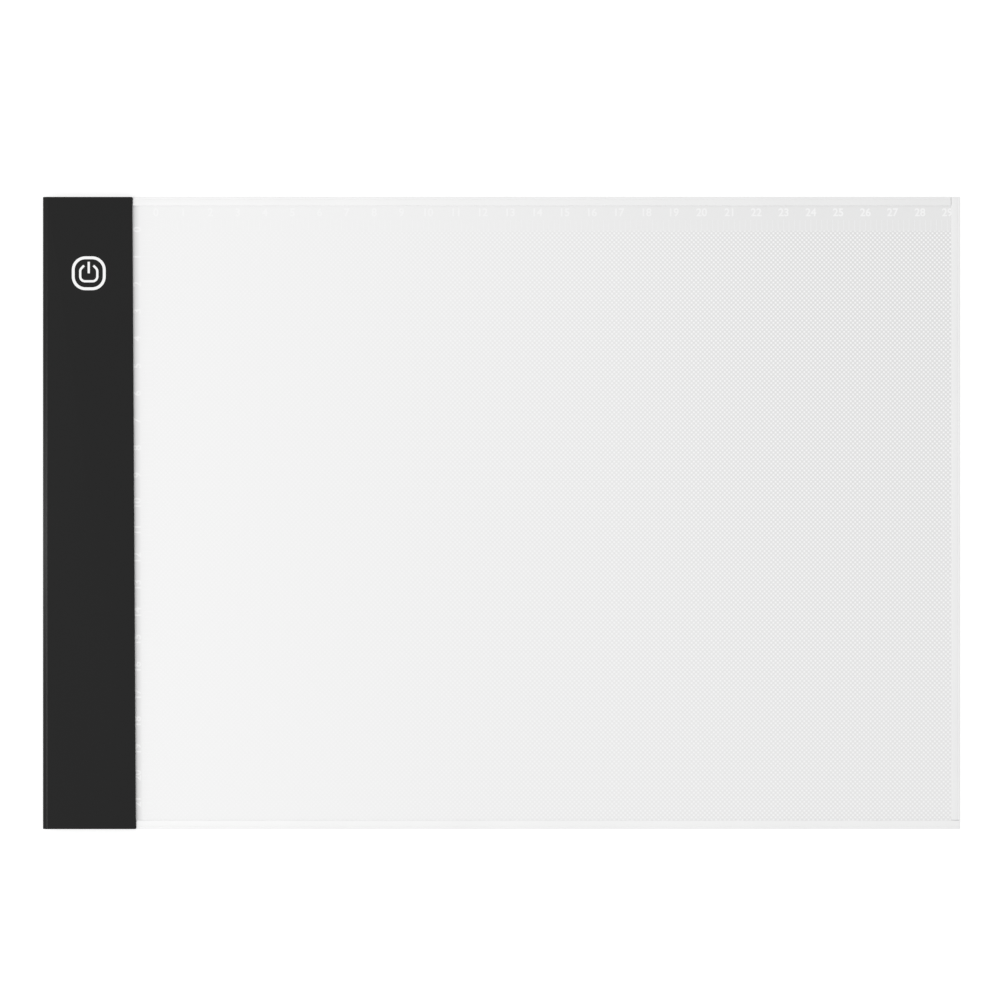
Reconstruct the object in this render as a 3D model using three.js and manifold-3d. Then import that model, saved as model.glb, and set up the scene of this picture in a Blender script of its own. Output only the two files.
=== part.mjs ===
// LED tracing pad, A4 class: a thin edge-lit panel held in three white edge rails, with a black
// control strip along its left end that covers the touch key, the power socket and the LEDs.
// Millimetres. +X runs along the long side, away from the strip, +Y to the far side, +Z up.
// The origin lies on the desk, under the middle of the pad.

import * as THREE from 'three'
import { mergeVertices } from 'three/addons/utils/BufferGeometryUtils.js'
import Module from 'manifold-3d'

const wasm = await Module()
wasm.setup()

// Outline of the pad and of its control strip, which is a little wider at the near edge
const padLength = 336
const padWidth = 231.6
const stripWidthFar = 32.8
const stripWidthNear = 34.1

// Layers, from the desk up
const footHeight = 1
const backPlateThickness = 0.8
const reflectorThickness = 0.2
const guideThickness = 2.5
const diffuserThickness = 0.2
const topSheetThickness = 0.5
const filmGap = 0.05

// Walls, rails and the clearances between them
const wallThickness = 1
const railWidth = 3.2
const lipThickness = 0.4
const railEdgeRadius = 0.35
const lipEdgeRadius = 0.15
const seamGap = 0.15
const fitGap = 0.1
const edgeTapeThickness = 0.1

// Cover of the control strip
const coverThickness = 0.9
const coverOuterRadius = 0.8
const coverInnerRadius = 0.3
const coverTapeThickness = 0.1
const coverTapeWidth = 5
const coverTapeSetback = 3

// Rubber feet
const footDiameter = 10
const footEdgeChamfer = 0.3
const footInset = 16

// Frame under the cover
const bayWidth = 20.6
const frameWall = 1
const ribThickness = 1.2
const ribCount = 5

// LED bar on the frame's inner wall
const ledCount = 36
const ledPitch = 6
const ledLength = 3
const ledHeight = 1.4
const ledDepth = 0.8
const ledWindowRim = 0.3
const ledWindowDepth = 0.25
const ledTrackHeight = 0.8
const ledTrackThickness = 0.1
const ledToGuide = 0.3
const ledBoardThickness = 0.8
const ledBoardEndMargin = 2
const ledTapeThickness = 0.1

// Touch key, measured from the pad's far left corner
const keyFromLeft = 16.8
const keyFromFar = 27.85
const electrodeDiameter = 10
const electrodeThickness = 0.1
const foamSide = 8

// Controller board
const boardLength = 62
const boardThickness = 0.8
const boardClearance = 0.4
const boardTapeThickness = 0.2
const boardTapeInset = 2

// Parts on the board: size along X, along Y and in height
const driverBody = { along: 3.9, across: 4.9, height: 1.4, legsPerSide: 4, legPitch: 1.27 }
const touchBody = { along: 1.6, across: 2.9, height: 1.1, legsPerSide: 3, legPitch: 0.95 }
const legs = { reach: 1, width: 0.4, thickness: 0.15, rise: 0.5, embed: 0.2 }
const legBendShare = 0.4
const inductorSize = { side: 4, height: 1.8, corner: 0.8 }
const capacitorSize = { along: 1.25, across: 2, height: 1.2, cap: 0.4, capStep: 0.05 }
const resistorSize = { along: 1.6, across: 0.8, height: 0.5, cap: 0.25, capStep: 0.03 }
const diodeSize = { along: 4.3, across: 2.6, height: 1.6, cap: 0.6, capStep: 0.05 }

// Their places, as shares of the board's width from the left and of the length of a zone of
// the board from its near end: beside the key, toward the socket, or on the near side of the key
const touchChipShares = [0.2, 0.5]
const inputCapacitorShares = [0.2, 0.5]
const driverChipShares = [0.26, 0.75]
const inductorShares = [0.72, 0.81]
const diodeShares = [0.7, 0.54]
const outputCapacitorShares = [0.24, 0.42]
const senseResistorShares = [[0.24, 0.24], [0.24, 0.13]]

// Micro-USB socket at the far edge, in line with the touch key
const socketWidth = 7.5
const socketHeight = 2.4
const socketDepth = 5.5
const socketWall = 0.3
const socketBackWall = 0.5
const socketCorner = 0.9
const socketRecess = 0.4
const socketClearance = 0.2
const tongueWidth = 3.8
const tongueThickness = 0.6
const tongueSetback = 0.8
const tongueFromTop = 0.55
const contactCount = 5
const contactPitch = 0.65
const contactWidth = 0.4
const contactThickness = 0.12
const contactSetback = 0.4

// Leads from the board to the LED bar
const leadDiameter = 0.8
const leadPitch = 2.2
const leadLift = 0.1
const leadRunOnBoard = 5
const leadSideStep = 1.2
const leadFromBoardEnd = 3.5
const leadNotchMargin = 1.2

// Modelling: how far a cut runs past what it cuts, how near two vertices are the same, and how
// finely curves are divided
const overrun = 2
const mergeDistance = 1e-5
const cornerSegments = 6
const roundSegments = 48
const leadSides = 8
const leadSteps = 14

// Places that follow from the sizes
const left = -padLength / 2
const right = padLength / 2
const near = -padWidth / 2
const far = padWidth / 2
const stackRight = right - wallThickness - fitGap
const stackFar = far - wallThickness - fitGap
const stackNear = -stackFar

const backPlateBottom = footHeight
const backPlateTop = backPlateBottom + backPlateThickness
const reflectorBottom = backPlateTop + filmGap
const guideBottom = reflectorBottom + reflectorThickness + filmGap
const guideTop = guideBottom + guideThickness
const diffuserBottom = guideTop + filmGap
const topSheetBottom = diffuserBottom + diffuserThickness + filmGap
const topSheetTop = topSheetBottom + topSheetThickness

const lipBottom = backPlateBottom - filmGap - lipThickness
const railTop = topSheetTop + filmGap + lipThickness
const coverUnderside = topSheetTop + coverTapeThickness
const coverTop = coverUnderside + coverThickness

const frameLeft = left + wallThickness + fitGap
const bayLeft = frameLeft + frameWall
const bayRight = bayLeft + bayWidth
const frameRight = bayRight + frameWall
const ledBoardBack = frameRight + ledTapeThickness
const ledBoardFront = ledBoardBack + ledBoardThickness
const guideLeft = ledBoardFront + ledDepth + ledToGuide
const sheetLeft = frameRight + fitGap

const keyX = left + keyFromLeft
const keyY = far - keyFromFar
const bayFar = stackFar - frameWall
const boardFar = bayFar - boardClearance
const boardNear = boardFar - boardLength
const boardLeft = bayLeft + boardClearance
const boardRight = bayRight - boardClearance
const boardBottom = backPlateTop + boardTapeThickness
const boardTop = boardBottom + boardThickness
const keyZone = [keyY - electrodeDiameter / 2, keyY + electrodeDiameter / 2]
const driverZone = [boardNear, keyZone[0]]
const socketZone = [keyZone[1], boardFar]
const socketBottom = boardTop
const socketMouth = far - socketRecess
const leadY = boardNear + leadFromBoardEnd
const notchNear = leadY - leadNotchMargin
const notchFar = leadY + leadPitch + leadSideStep + leadNotchMargin

// Turn a closed geometry into a solid that can be joined and cut, and back
function solid(geometry) {
  const bare = geometry.clone()
  bare.deleteAttribute('normal')
  bare.deleteAttribute('uv')
  const merged = mergeVertices(bare, mergeDistance)
  return new wasm.Manifold(new wasm.Mesh({
    numProp: 3,
    vertProperties: new Float32Array(merged.attributes.position.array),
    triVerts: new Uint32Array(merged.index.array),
  }))
}

function geometryOf(body) {
  const mesh = body.getMesh()
  const geometry = new THREE.BufferGeometry()
  geometry.setAttribute('position', new THREE.BufferAttribute(mesh.vertProperties, 3))
  geometry.setIndex(new THREE.BufferAttribute(mesh.triVerts, 1))
  geometry.computeVertexNormals()
  return geometry
}

function joined(first, ...others) {
  return geometryOf(others.reduce((body, other) => body.add(solid(other)), solid(first)))
}

function cut(whole, ...tools) {
  return geometryOf(tools.reduce((body, tool) => body.subtract(solid(tool)), solid(whole)))
}

// A block between two places along each axis
function block([x0, x1], [y0, y1], [z0, z1]) {
  const geometry = new THREE.BoxGeometry(x1 - x0, y1 - y0, z1 - z0)
  return geometry.translate((x0 + x1) / 2, (y0 + y1) / 2, (z0 + z1) / 2)
}

// The span of a size about its middle
function about(middle, size) {
  return [middle - size / 2, middle + size / 2]
}

// A closed outline of corners [x, y, radius], with its right-angled corners rounded
function outline(corners) {
  const roundness = 0.5523
  const shape = new THREE.Shape()
  corners.forEach(([x, y, radius = 0], index) => {
    const corner = new THREE.Vector2(x, y)
    const before = new THREE.Vector2(...corners.at(index - 1))
    const after = new THREE.Vector2(...corners[(index + 1) % corners.length])
    const towards = (other, length) => other.clone().sub(corner).setLength(length).add(corner)
    const start = radius ? towards(before, radius) : corner
    if (index === 0) shape.moveTo(start.x, start.y)
    else shape.lineTo(start.x, start.y)
    if (!radius) return
    const leave = towards(before, radius * (1 - roundness))
    const arrive = towards(after, radius * (1 - roundness))
    const end = towards(after, radius)
    shape.bezierCurveTo(leave.x, leave.y, arrive.x, arrive.y, end.x, end.y)
  })
  shape.closePath()
  return shape
}

// A prism whose section lies in the plane of two axes and that runs on from its start
function prism(shape, length, start, across, up) {
  const geometry = new THREE.ExtrudeGeometry(shape, {
    depth: length, bevelEnabled: false, curveSegments: cornerSegments,
  })
  const along = new THREE.Vector3().crossVectors(across, up)
  geometry.applyMatrix4(new THREE.Matrix4().makeBasis(across, up, along))
  return geometry.translate(start.x, start.y, start.z)
}

const axisX = new THREE.Vector3(1, 0, 0)
const axisY = new THREE.Vector3(0, 1, 0)
const axisZ = new THREE.Vector3(0, 0, 1)
const place = (x, y, z) => new THREE.Vector3(x, y, z)

// Each named piece is one mesh with a finish of its own
const group = new THREE.Group()

function addPiece(name, geometry, finish) {
  const mesh = new THREE.Mesh(geometry, new THREE.MeshStandardMaterial(finish))
  mesh.name = name
  group.add(mesh)
}

const blackPlastic = { color: 0x1b1b1b, roughness: 0.3, metalness: 0 }
const darkPlastic = { color: 0x26272a, roughness: 0.6, metalness: 0 }
const whitePlastic = { color: 0xe9e9e7, roughness: 0.4, metalness: 0 }
const opalAcrylic = { color: 0xf2f2f2, roughness: 0.3, metalness: 0 }
const clearAcrylic = { color: 0xeef0f0, roughness: 0.1, metalness: 0 }
const whiteFilm = { color: 0xf2f2f0, roughness: 0.7, metalness: 0 }
const whiteTape = { color: 0xe6e6e0, roughness: 0.8, metalness: 0 }
const greyRubber = { color: 0xb9b9b5, roughness: 0.9, metalness: 0 }
const greenBoard = { color: 0x1e5a34, roughness: 0.5, metalness: 0 }
const whiteBoard = { color: 0xe4e4dc, roughness: 0.5, metalness: 0 }
const ledWhite = { color: 0xf1e6b4, roughness: 0.5, metalness: 0 }
const copper = { color: 0xc98a4b, roughness: 0.35, metalness: 1 }
const tinned = { color: 0xc2c4c6, roughness: 0.3, metalness: 1 }
const gold = { color: 0xd9b45a, roughness: 0.3, metalness: 1 }
const blackFoam = { color: 0x2a2a2a, roughness: 0.95, metalness: 0 }
const ferrite = { color: 0x3a3a3c, roughness: 0.7, metalness: 0 }
const ceramicTan = { color: 0xb08d62, roughness: 0.5, metalness: 0 }
const redWire = { color: 0xb3241d, roughness: 0.5, metalness: 0 }
const blackWire = { color: 0x17181a, roughness: 0.5, metalness: 0 }

// Layers of the panel, each a plain sheet
function addSheets() {
  const sheets = [
    ['back_plate', frameLeft, backPlateBottom, backPlateThickness, whitePlastic],
    ['reflector_sheet', sheetLeft, reflectorBottom, reflectorThickness, whiteFilm],
    ['diffuser_sheet', sheetLeft, diffuserBottom, diffuserThickness, whiteFilm],
    ['top_sheet', sheetLeft, topSheetBottom, topSheetThickness, opalAcrylic],
  ]
  for (const [name, start, bottom, thickness, finish] of sheets) {
    const body = block([start, stackRight], [stackNear, stackFar], [bottom, bottom + thickness])
    addPiece(name, body, finish)
  }
}

// Light guide with reflecting tape along the three edges that face no LEDs
function addLightGuide() {
  const guideRight = stackRight - edgeTapeThickness
  const guideFar = stackFar - edgeTapeThickness
  const height = [guideBottom, guideTop]
  const along = [guideLeft, guideRight]
  addPiece('light_guide', block(along, [-guideFar, guideFar], height), clearAcrylic)
  addPiece('edge_tape_top', block(along, [guideFar, stackFar], height), whiteTape)
  addPiece('edge_tape_bottom', block(along, [stackNear, -guideFar], height), whiteTape)
  addPiece('edge_tape_right', block([guideRight, stackRight], [-guideFar, guideFar], height), whiteTape)
}

// Section of a rail, seen along it: its width runs inward from the pad's edge
function railOutline() {
  return outline([
    [0, lipBottom, railEdgeRadius],
    [railWidth, lipBottom, lipEdgeRadius],
    [railWidth, lipBottom + lipThickness],
    [wallThickness, lipBottom + lipThickness],
    [wallThickness, railTop - lipThickness],
    [railWidth, railTop - lipThickness],
    [railWidth, railTop, lipEdgeRadius],
    [0, railTop, railEdgeRadius],
  ])
}

// The same section without its slot, for the closed end of a rail
function railEndOutline() {
  return outline([
    [0, lipBottom, railEdgeRadius],
    [railWidth, lipBottom, lipEdgeRadius],
    [railWidth, railTop, lipEdgeRadius],
    [0, railTop, railEdgeRadius],
  ])
}

// The right rail closes the far right corner, and the bottom rail the near right one
function addRails() {
  const inwardFromRight = axisX.clone().negate()
  const inwardFromFar = axisY.clone().negate()
  const innerRight = right - railWidth - seamGap
  const topStart = left + stripWidthFar + seamGap
  const top = prism(railOutline(), innerRight - topStart, place(innerRight, far, 0), inwardFromFar, axisZ)
  addPiece('top_rail', top, whitePlastic)

  const rightStart = near + railWidth + seamGap
  const sideStart = place(right, rightStart, 0)
  const sideRun = prism(railOutline(), far - rightStart, sideStart, inwardFromRight, axisZ)
  const cornerStart = place(right, far - wallThickness, 0)
  const corner = prism(railEndOutline(), wallThickness, cornerStart, inwardFromRight, axisZ)
  addPiece('right_rail', joined(sideRun, corner), whitePlastic)

  const bottomStart = left + stripWidthNear + seamGap
  const nearRun = prism(railOutline(), right - bottomStart, place(bottomStart, near, 0), axisY, axisZ)
  const endStart = place(right - wallThickness, near, 0)
  const end = prism(railEndOutline(), wallThickness, endStart, axisY, axisZ)
  addPiece('bottom_rail', joined(nearRun, end), whitePlastic)
}

// Outer shape of the cover: rounded along its left, far and near edges, and its inner edge
// leans, so that the strip widens toward the near side
function coverBody() {
  const innerFar = left + stripWidthFar
  const lengthwise = outline([
    [left, lipBottom],
    [innerFar, lipBottom],
    [innerFar, coverTop, coverInnerRadius],
    [left, coverTop, coverOuterRadius],
  ])
  const bar = prism(lengthwise, padWidth, place(0, far, 0), axisX, axisZ)
  const middle = left + stripWidthFar / 2
  const points = bar.attributes.position
  for (let index = 0; index < points.count; index++) {
    const fromFar = (far - points.getY(index)) / padWidth
    const lean = (stripWidthNear - stripWidthFar) * fromFar
    if (points.getX(index) > middle) points.setX(index, points.getX(index) + lean)
  }
  const crosswise = outline([
    [near, lipBottom],
    [far, lipBottom],
    [far, coverTop, coverOuterRadius],
    [near, coverTop, coverOuterRadius],
  ])
  const reach = Math.max(stripWidthFar, stripWidthNear) + 2 * overrun
  const ends = prism(crosswise, reach, place(left - overrun, 0, 0), axisY, axisZ)
  return geometryOf(solid(bar).intersect(solid(ends)))
}

// Outline of the socket in the plane of the pad's far edge, grown by a clearance; its two
// lower corners are cut away as on the plug
function socketOutline(grow) {
  const [x0, x1] = about(keyX, socketWidth + 2 * grow)
  const z0 = socketBottom - grow
  const z1 = socketBottom + socketHeight + grow
  return outline([
    [x0, z0 + socketCorner], [x0 + socketCorner, z0],
    [x1 - socketCorner, z0], [x1, z0 + socketCorner],
    [x1, z1], [x0, z1],
  ])
}

function addCover() {
  const hollow = block(
    [left + wallThickness, right],
    [near + wallThickness, far - wallThickness],
    [lipBottom - overrun, coverUnderside],
  )
  const slot = prism(socketOutline(socketClearance), wallThickness + 2 * overrun,
    place(0, far + overrun, 0), axisX, axisZ)
  addPiece('control_cover', cut(coverBody(), hollow, slot), blackPlastic)

  const tapeRight = left + stripWidthFar - coverTapeSetback
  const tape = block(
    [tapeRight - coverTapeWidth, tapeRight],
    [stackNear, stackFar],
    [topSheetTop, coverUnderside],
  )
  addPiece('cover_tape', tape, whiteTape)
}

// Moulded frame under the cover: an outer wall, ribs that carry the cover, and a long cell
// at the far end for the controller board
function addFrame() {
  const height = [backPlateTop, coverUnderside]
  const cutHeight = [backPlateTop - overrun, coverUnderside + overrun]
  const body = block([frameLeft, frameRight], [stackNear, stackFar], height)
  const boardCellNear = boardNear - boardClearance
  const ribbedNear = stackNear + frameWall
  const cellPitch = (boardCellNear - ribbedNear) / ribCount
  const cells = [block([bayLeft, bayRight], [boardCellNear, bayFar], cutHeight)]
  for (let index = 0; index < ribCount; index++) {
    const cellNear = ribbedNear + index * cellPitch
    cells.push(block([bayLeft, bayRight], [cellNear, cellNear + cellPitch - ribThickness], cutHeight))
  }
  const socketNotch = block(
    about(keyX, socketWidth + 2 * socketClearance),
    [bayFar - overrun, stackFar + overrun],
    [socketBottom - socketClearance, coverUnderside + overrun],
  )
  const leadNotch = block(
    [bayRight - overrun, frameRight + overrun],
    [notchNear, notchFar],
    [boardTop, coverUnderside + overrun],
  )
  addPiece('bay_frame', cut(body, ...cells, socketNotch, leadNotch), darkPlastic)
}

// One LED package facing the guide, with its light window sunk into the front
function ledPackage(y, middleZ) {
  const front = ledBoardFront + ledDepth
  const body = block([ledBoardFront, front], about(y, ledLength), about(middleZ, ledHeight))
  const window = block(
    [front - ledWindowDepth, front + overrun],
    about(y, ledLength - 2 * ledWindowRim),
    about(middleZ, ledHeight - 2 * ledWindowRim),
  )
  return cut(body, window)
}

// Upright LED board along the guide's left edge, taped to the frame on both sides of the leads
function addLedBar() {
  const height = [guideBottom, guideTop]
  const middleZ = (guideBottom + guideTop) / 2
  const boardSpan = [stackNear + ledBoardEndMargin, stackFar - ledBoardEndMargin]
  addPiece('led_board', block([ledBoardBack, ledBoardFront], boardSpan, height), whiteBoard)

  const rowLength = ledPitch * (ledCount - 1)
  const track = block(
    [ledBoardFront, ledBoardFront + ledTrackThickness],
    about(0, rowLength + ledLength),
    about(middleZ, ledTrackHeight),
  )
  const packages = []
  for (let index = 0; index < ledCount; index++) {
    packages.push(ledPackage(index * ledPitch - rowLength / 2, middleZ))
  }
  addPiece('led_row', joined(track, ...packages), ledWhite)

  const tapeAcross = [frameRight, ledBoardBack]
  addPiece('led_tape_far', block(tapeAcross, [notchFar, boardSpan[1]], height), whiteTape)
  addPiece('led_tape_near', block(tapeAcross, [boardSpan[0], notchNear], height), whiteTape)
}

// Place on the controller board from shares of its width and of a zone's length
function onBoard([zoneNear, zoneFar], [widthShare, lengthShare]) {
  return [
    boardLeft + (boardRight - boardLeft) * widthShare,
    zoneNear + (zoneFar - zoneNear) * lengthShare,
  ]
}

function addBoard() {
  const board = block([boardLeft, boardRight], [boardNear, boardFar], [boardBottom, boardTop])
  addPiece('controller_board', board, greenBoard)
  const tape = block(
    [boardLeft + boardTapeInset, boardRight - boardTapeInset],
    [boardNear + boardTapeInset, boardFar - boardTapeInset],
    [backPlateTop, boardBottom],
  )
  addPiece('board_tape', tape, whiteTape)
}

// Touch key: a copper disc on the board, and foam that carries it up to the cover
function addTouchKey() {
  const radius = electrodeDiameter / 2
  const disc = new THREE.CylinderGeometry(radius, radius, electrodeThickness, roundSegments)
  disc.rotateX(Math.PI / 2)
  disc.translate(keyX, keyY, boardTop + electrodeThickness / 2)
  addPiece('touch_electrode', disc, copper)
  const foam = block(
    about(keyX, foamSide), about(keyY, foamSide), [boardTop + electrodeThickness, coverUnderside],
  )
  addPiece('touch_foam', foam, blackFoam)
}

// A chip with bent legs along its two long sides
function addChip(name, [x, y], size) {
  const body = block(
    about(x, size.along), about(y, size.across), [boardTop + legs.thickness, boardTop + size.height],
  )
  const bend = legs.reach * legBendShare
  const section = outline([
    [-legs.embed, legs.rise], [bend, legs.rise], [bend, 0], [legs.reach, 0],
    [legs.reach, legs.thickness], [bend + legs.thickness, legs.thickness],
    [bend + legs.thickness, legs.rise + legs.thickness], [-legs.embed, legs.rise + legs.thickness],
  ])
  const parts = []
  for (let index = 0; index < size.legsPerSide; index++) {
    const middle = y + (index - (size.legsPerSide - 1) / 2) * size.legPitch
    const [legNear, legFar] = about(middle, legs.width)
    const inwardSide = axisX.clone().negate()
    parts.push(prism(section, legs.width, place(x + size.along / 2, legFar, boardTop), axisX, axisZ))
    parts.push(prism(section, legs.width, place(x - size.along / 2, legNear, boardTop), inwardSide, axisZ))
  }
  addPiece(name, joined(body, ...parts), darkPlastic)
}

// A small part with a slightly thicker solder cap at each end of its length
function addCapped(name, [x, y], size, finish) {
  const lengthwise = size.along > size.across
  const span = (length, width, z) => (lengthwise
    ? block(length.map((value) => value + x), width.map((value) => value + y), z)
    : block(width.map((value) => value + x), length.map((value) => value + y), z))
  const long = Math.max(size.along, size.across)
  const wide = Math.min(size.along, size.across)
  const body = span(about(0, long), about(0, wide - 2 * size.capStep),
    [boardTop + size.capStep, boardTop + size.height - size.capStep])
  const caps = [-1, 1].map((side) => span(
    about(side * (long - size.cap) / 2, size.cap), about(0, wide), [boardTop, boardTop + size.height],
  ))
  addPiece(name, joined(body, ...caps), finish)
}

function addInductor() {
  const [x, y] = onBoard(driverZone, inductorShares)
  const half = inductorSize.side / 2
  const inner = half - inductorSize.corner
  const section = outline([
    [inner, -half], [half, -inner], [half, inner], [inner, half],
    [-inner, half], [-half, inner], [-half, -inner], [-inner, -half],
  ])
  const body = prism(section, inductorSize.height, place(x, y, boardTop), axisX, axisY)
  addPiece('power_inductor', body, ferrite)
}

// Socket: a tinned shell open at the far edge, with a tongue that carries the contacts
function addSocket() {
  const back = socketMouth - socketDepth
  const shell = prism(socketOutline(0), socketDepth, place(0, socketMouth, 0), axisX, axisZ)
  const cavity = prism(socketOutline(-socketWall), socketDepth - socketBackWall + overrun,
    place(0, socketMouth + overrun, 0), axisX, axisZ)
  addPiece('usb_shell', cut(shell, cavity), tinned)

  const tongueTop = socketBottom + socketHeight - socketWall - tongueFromTop
  const tongueSpan = [back + socketBackWall, socketMouth - tongueSetback]
  const tongueBottom = tongueTop - tongueThickness
  const tongue = block(about(keyX, tongueWidth), tongueSpan, [tongueBottom, tongueTop])
  addPiece('usb_tongue', tongue, darkPlastic)
  for (let index = 0; index < contactCount; index++) {
    const x = keyX + (index - (contactCount - 1) / 2) * contactPitch
    const contact = block(
      about(x, contactWidth),
      [tongueSpan[0], tongueSpan[1] - contactSetback],
      [tongueBottom - contactThickness, tongueBottom],
    )
    addPiece(`usb_contact_${index + 1}`, contact, gold)
  }
}

// A lead from its solder joint on the board, through the notch, to the back of the LED board
function addLead(name, y, finish) {
  const radius = leadDiameter / 2
  const z = boardTop + leadLift + radius
  const start = boardRight - leadRunOnBoard
  const straight = leadDiameter
  const path = new THREE.CatmullRomCurve3([
    place(start, y, z),
    place(start + straight, y, z),
    place(bayRight - straight, y + leadSideStep, z),
    place(bayRight, y + leadSideStep, z),
    place(ledBoardBack, y + leadSideStep, z),
  ], false, 'centripetal')
  const section = new THREE.Shape()
  for (let index = 0; index < leadSides; index++) {
    const angle = (index / leadSides) * 2 * Math.PI
    const point = [radius * Math.cos(angle), radius * Math.sin(angle)]
    if (index === 0) section.moveTo(...point)
    else section.lineTo(...point)
  }
  section.closePath()
  const tube = new THREE.ExtrudeGeometry(section, { steps: leadSteps, extrudePath: path })
  addPiece(name, tube, finish)
}

// A round foot with a small chamfer at the desk
function addFoot(name, x, y) {
  const radius = footDiameter / 2
  const profile = [
    new THREE.Vector2(0, 0),
    new THREE.Vector2(radius - footEdgeChamfer, 0),
    new THREE.Vector2(radius, footEdgeChamfer),
    new THREE.Vector2(radius, footHeight),
    new THREE.Vector2(0, footHeight),
  ]
  const foot = new THREE.LatheGeometry(profile, roundSegments)
  foot.rotateX(Math.PI / 2)
  addPiece(name, foot.translate(x, y, 0), greyRubber)
}

function addFeet() {
  const x = right - footInset
  const y = far - footInset
  const places = [[-x, -y], [x, -y], [x, y], [-x, y]]
  places.forEach(([footX, footY], index) => addFoot(`foot_${index + 1}`, footX, footY))
}

addSheets()
addLightGuide()
addRails()
addCover()
addFrame()
addLedBar()
addBoard()
addTouchKey()
addChip('touch_chip', onBoard(keyZone, touchChipShares), touchBody)
addChip('driver_chip', onBoard(driverZone, driverChipShares), driverBody)
addInductor()
addCapped('rectifier_diode', onBoard(driverZone, diodeShares), diodeSize, darkPlastic)
addCapped('input_capacitor', onBoard(socketZone, inputCapacitorShares), capacitorSize, ceramicTan)
addCapped('output_capacitor', onBoard(driverZone, outputCapacitorShares), capacitorSize, ceramicTan)
senseResistorShares.forEach((shares, index) => {
  addCapped(`sense_resistor_${index + 1}`, onBoard(driverZone, shares), resistorSize, darkPlastic)
})
addSocket()
addLead('led_lead_red', leadY, redWire)
addLead('led_lead_black', leadY + leadPitch, blackWire)
addFeet()

export default group
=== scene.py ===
import math

import bmesh
import bpy
from bpy.props import FloatProperty, FloatVectorProperty, IntProperty, PointerProperty
from mathutils import Matrix, Vector


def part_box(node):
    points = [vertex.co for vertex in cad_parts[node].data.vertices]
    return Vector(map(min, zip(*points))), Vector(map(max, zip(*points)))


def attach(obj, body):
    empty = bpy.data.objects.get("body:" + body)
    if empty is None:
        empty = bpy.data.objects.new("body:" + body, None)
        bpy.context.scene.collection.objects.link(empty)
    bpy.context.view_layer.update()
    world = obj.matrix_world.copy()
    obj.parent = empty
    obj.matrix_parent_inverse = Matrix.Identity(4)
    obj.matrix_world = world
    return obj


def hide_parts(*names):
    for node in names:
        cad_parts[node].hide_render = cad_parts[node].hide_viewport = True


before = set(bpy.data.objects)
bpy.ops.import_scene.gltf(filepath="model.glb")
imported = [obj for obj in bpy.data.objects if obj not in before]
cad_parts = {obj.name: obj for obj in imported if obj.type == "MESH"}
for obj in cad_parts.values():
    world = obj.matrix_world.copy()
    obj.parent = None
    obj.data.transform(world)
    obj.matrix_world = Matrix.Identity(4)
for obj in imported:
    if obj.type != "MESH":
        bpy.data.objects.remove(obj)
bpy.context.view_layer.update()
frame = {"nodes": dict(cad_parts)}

bl_info = {
    "name": "LED tracing pad",
    "version": (1, 0, 0),
    "blender": (4, 5, 0),
    "location": "View3D > Sidebar > Tracing pad",
    "description": "Dresses the packed LED tracing pad: cover, rails, printed ruler, panel and inner parts",
    "category": "Object",
}

BODY = "root"
MM = 0.001

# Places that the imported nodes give, in metres
COVER_LOW, COVER_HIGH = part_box("control_cover")
SHEET_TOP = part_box("top_sheet")[1].z
RIGHT_RAIL_LOW, RIGHT_RAIL_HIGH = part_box("right_rail")
TOP_RAIL_LOW, TOP_RAIL_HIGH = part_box("top_rail")
BOTTOM_RAIL_LOW, BOTTOM_RAIL_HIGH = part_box("bottom_rail")
SOCKET_LOW, SOCKET_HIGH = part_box("usb_shell")
LED_ROW_LOW, LED_ROW_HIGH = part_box("led_row")
KEY_CENTRE = sum(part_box("touch_electrode"), Vector()) / 2
FLOOR_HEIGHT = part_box("foot_1")[0].z

# Fineness of the meshes: points closer than SAME_PLACE count as one, angles are in degrees
SAME_PLACE = 0.002 * MM
SAME_STROKE_PLACE = 0.001 * MM
LEAST_CORNER = 0.02 * MM
EDGE_STEPS, LIP_STEPS, CORNER_STEPS = 6, 4, 4
BEVEL_ROUND_STEPS, BEVEL_CREASE_STEPS = 5, 8
STROKE_CORNER_STEPS, LEAD_SIDES, LEAD_STEPS = 12, 16, 24
FOOT_TURNS, FOOT_EDGE_STEPS = 64, 5
FOAM_LEVELS, FOAM_CORNER_STEPS = 8, 6
SMOOTH_ANGLE, BROKEN_SMOOTH_ANGLE, FOAM_SMOOTH_ANGLE = 30, 35, 50
RAIL_BREAK_ANGLE, PART_BREAK_ANGLE, FLAT_ANGLE = 60, 30, 1

# The values of a noise lie mostly between these two
NOISE_LOW, NOISE_HIGH = 0.3, 0.7

# Sockets of a Mix node that mixes colours
MIX_FACTOR, MIX_FIRST, MIX_SECOND, MIX_RESULT = 0, 6, 7, 2

SENSOR_WIDTH = 36


def length(name, description, millimetres):
    """A size, written in millimetres and kept in metres"""
    return FloatProperty(
        name=name, description=description, default=millimetres * MM, unit="LENGTH", precision=5
    )


def place(name, description, metres):
    """A point of the stage"""
    return FloatVectorProperty(
        name=name, description=description, default=metres, subtype="TRANSLATION", unit="LENGTH"
    )


def ratio(name, description, default):
    """A plain number, such as a share"""
    return FloatProperty(name=name, description=description, default=default, precision=4)


def how_many(name, description, default):
    """A count"""
    return IntProperty(name=name, description=description, default=default, min=1)


def watts(name, description, default):
    """A lamp's power"""
    return FloatProperty(name=name, description=description, default=default, unit="POWER")


def colour(name, description, default):
    """A finish's base colour"""
    return FloatVectorProperty(
        name=name, description=description, default=default, subtype="COLOR", min=0, max=1
    )


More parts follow.
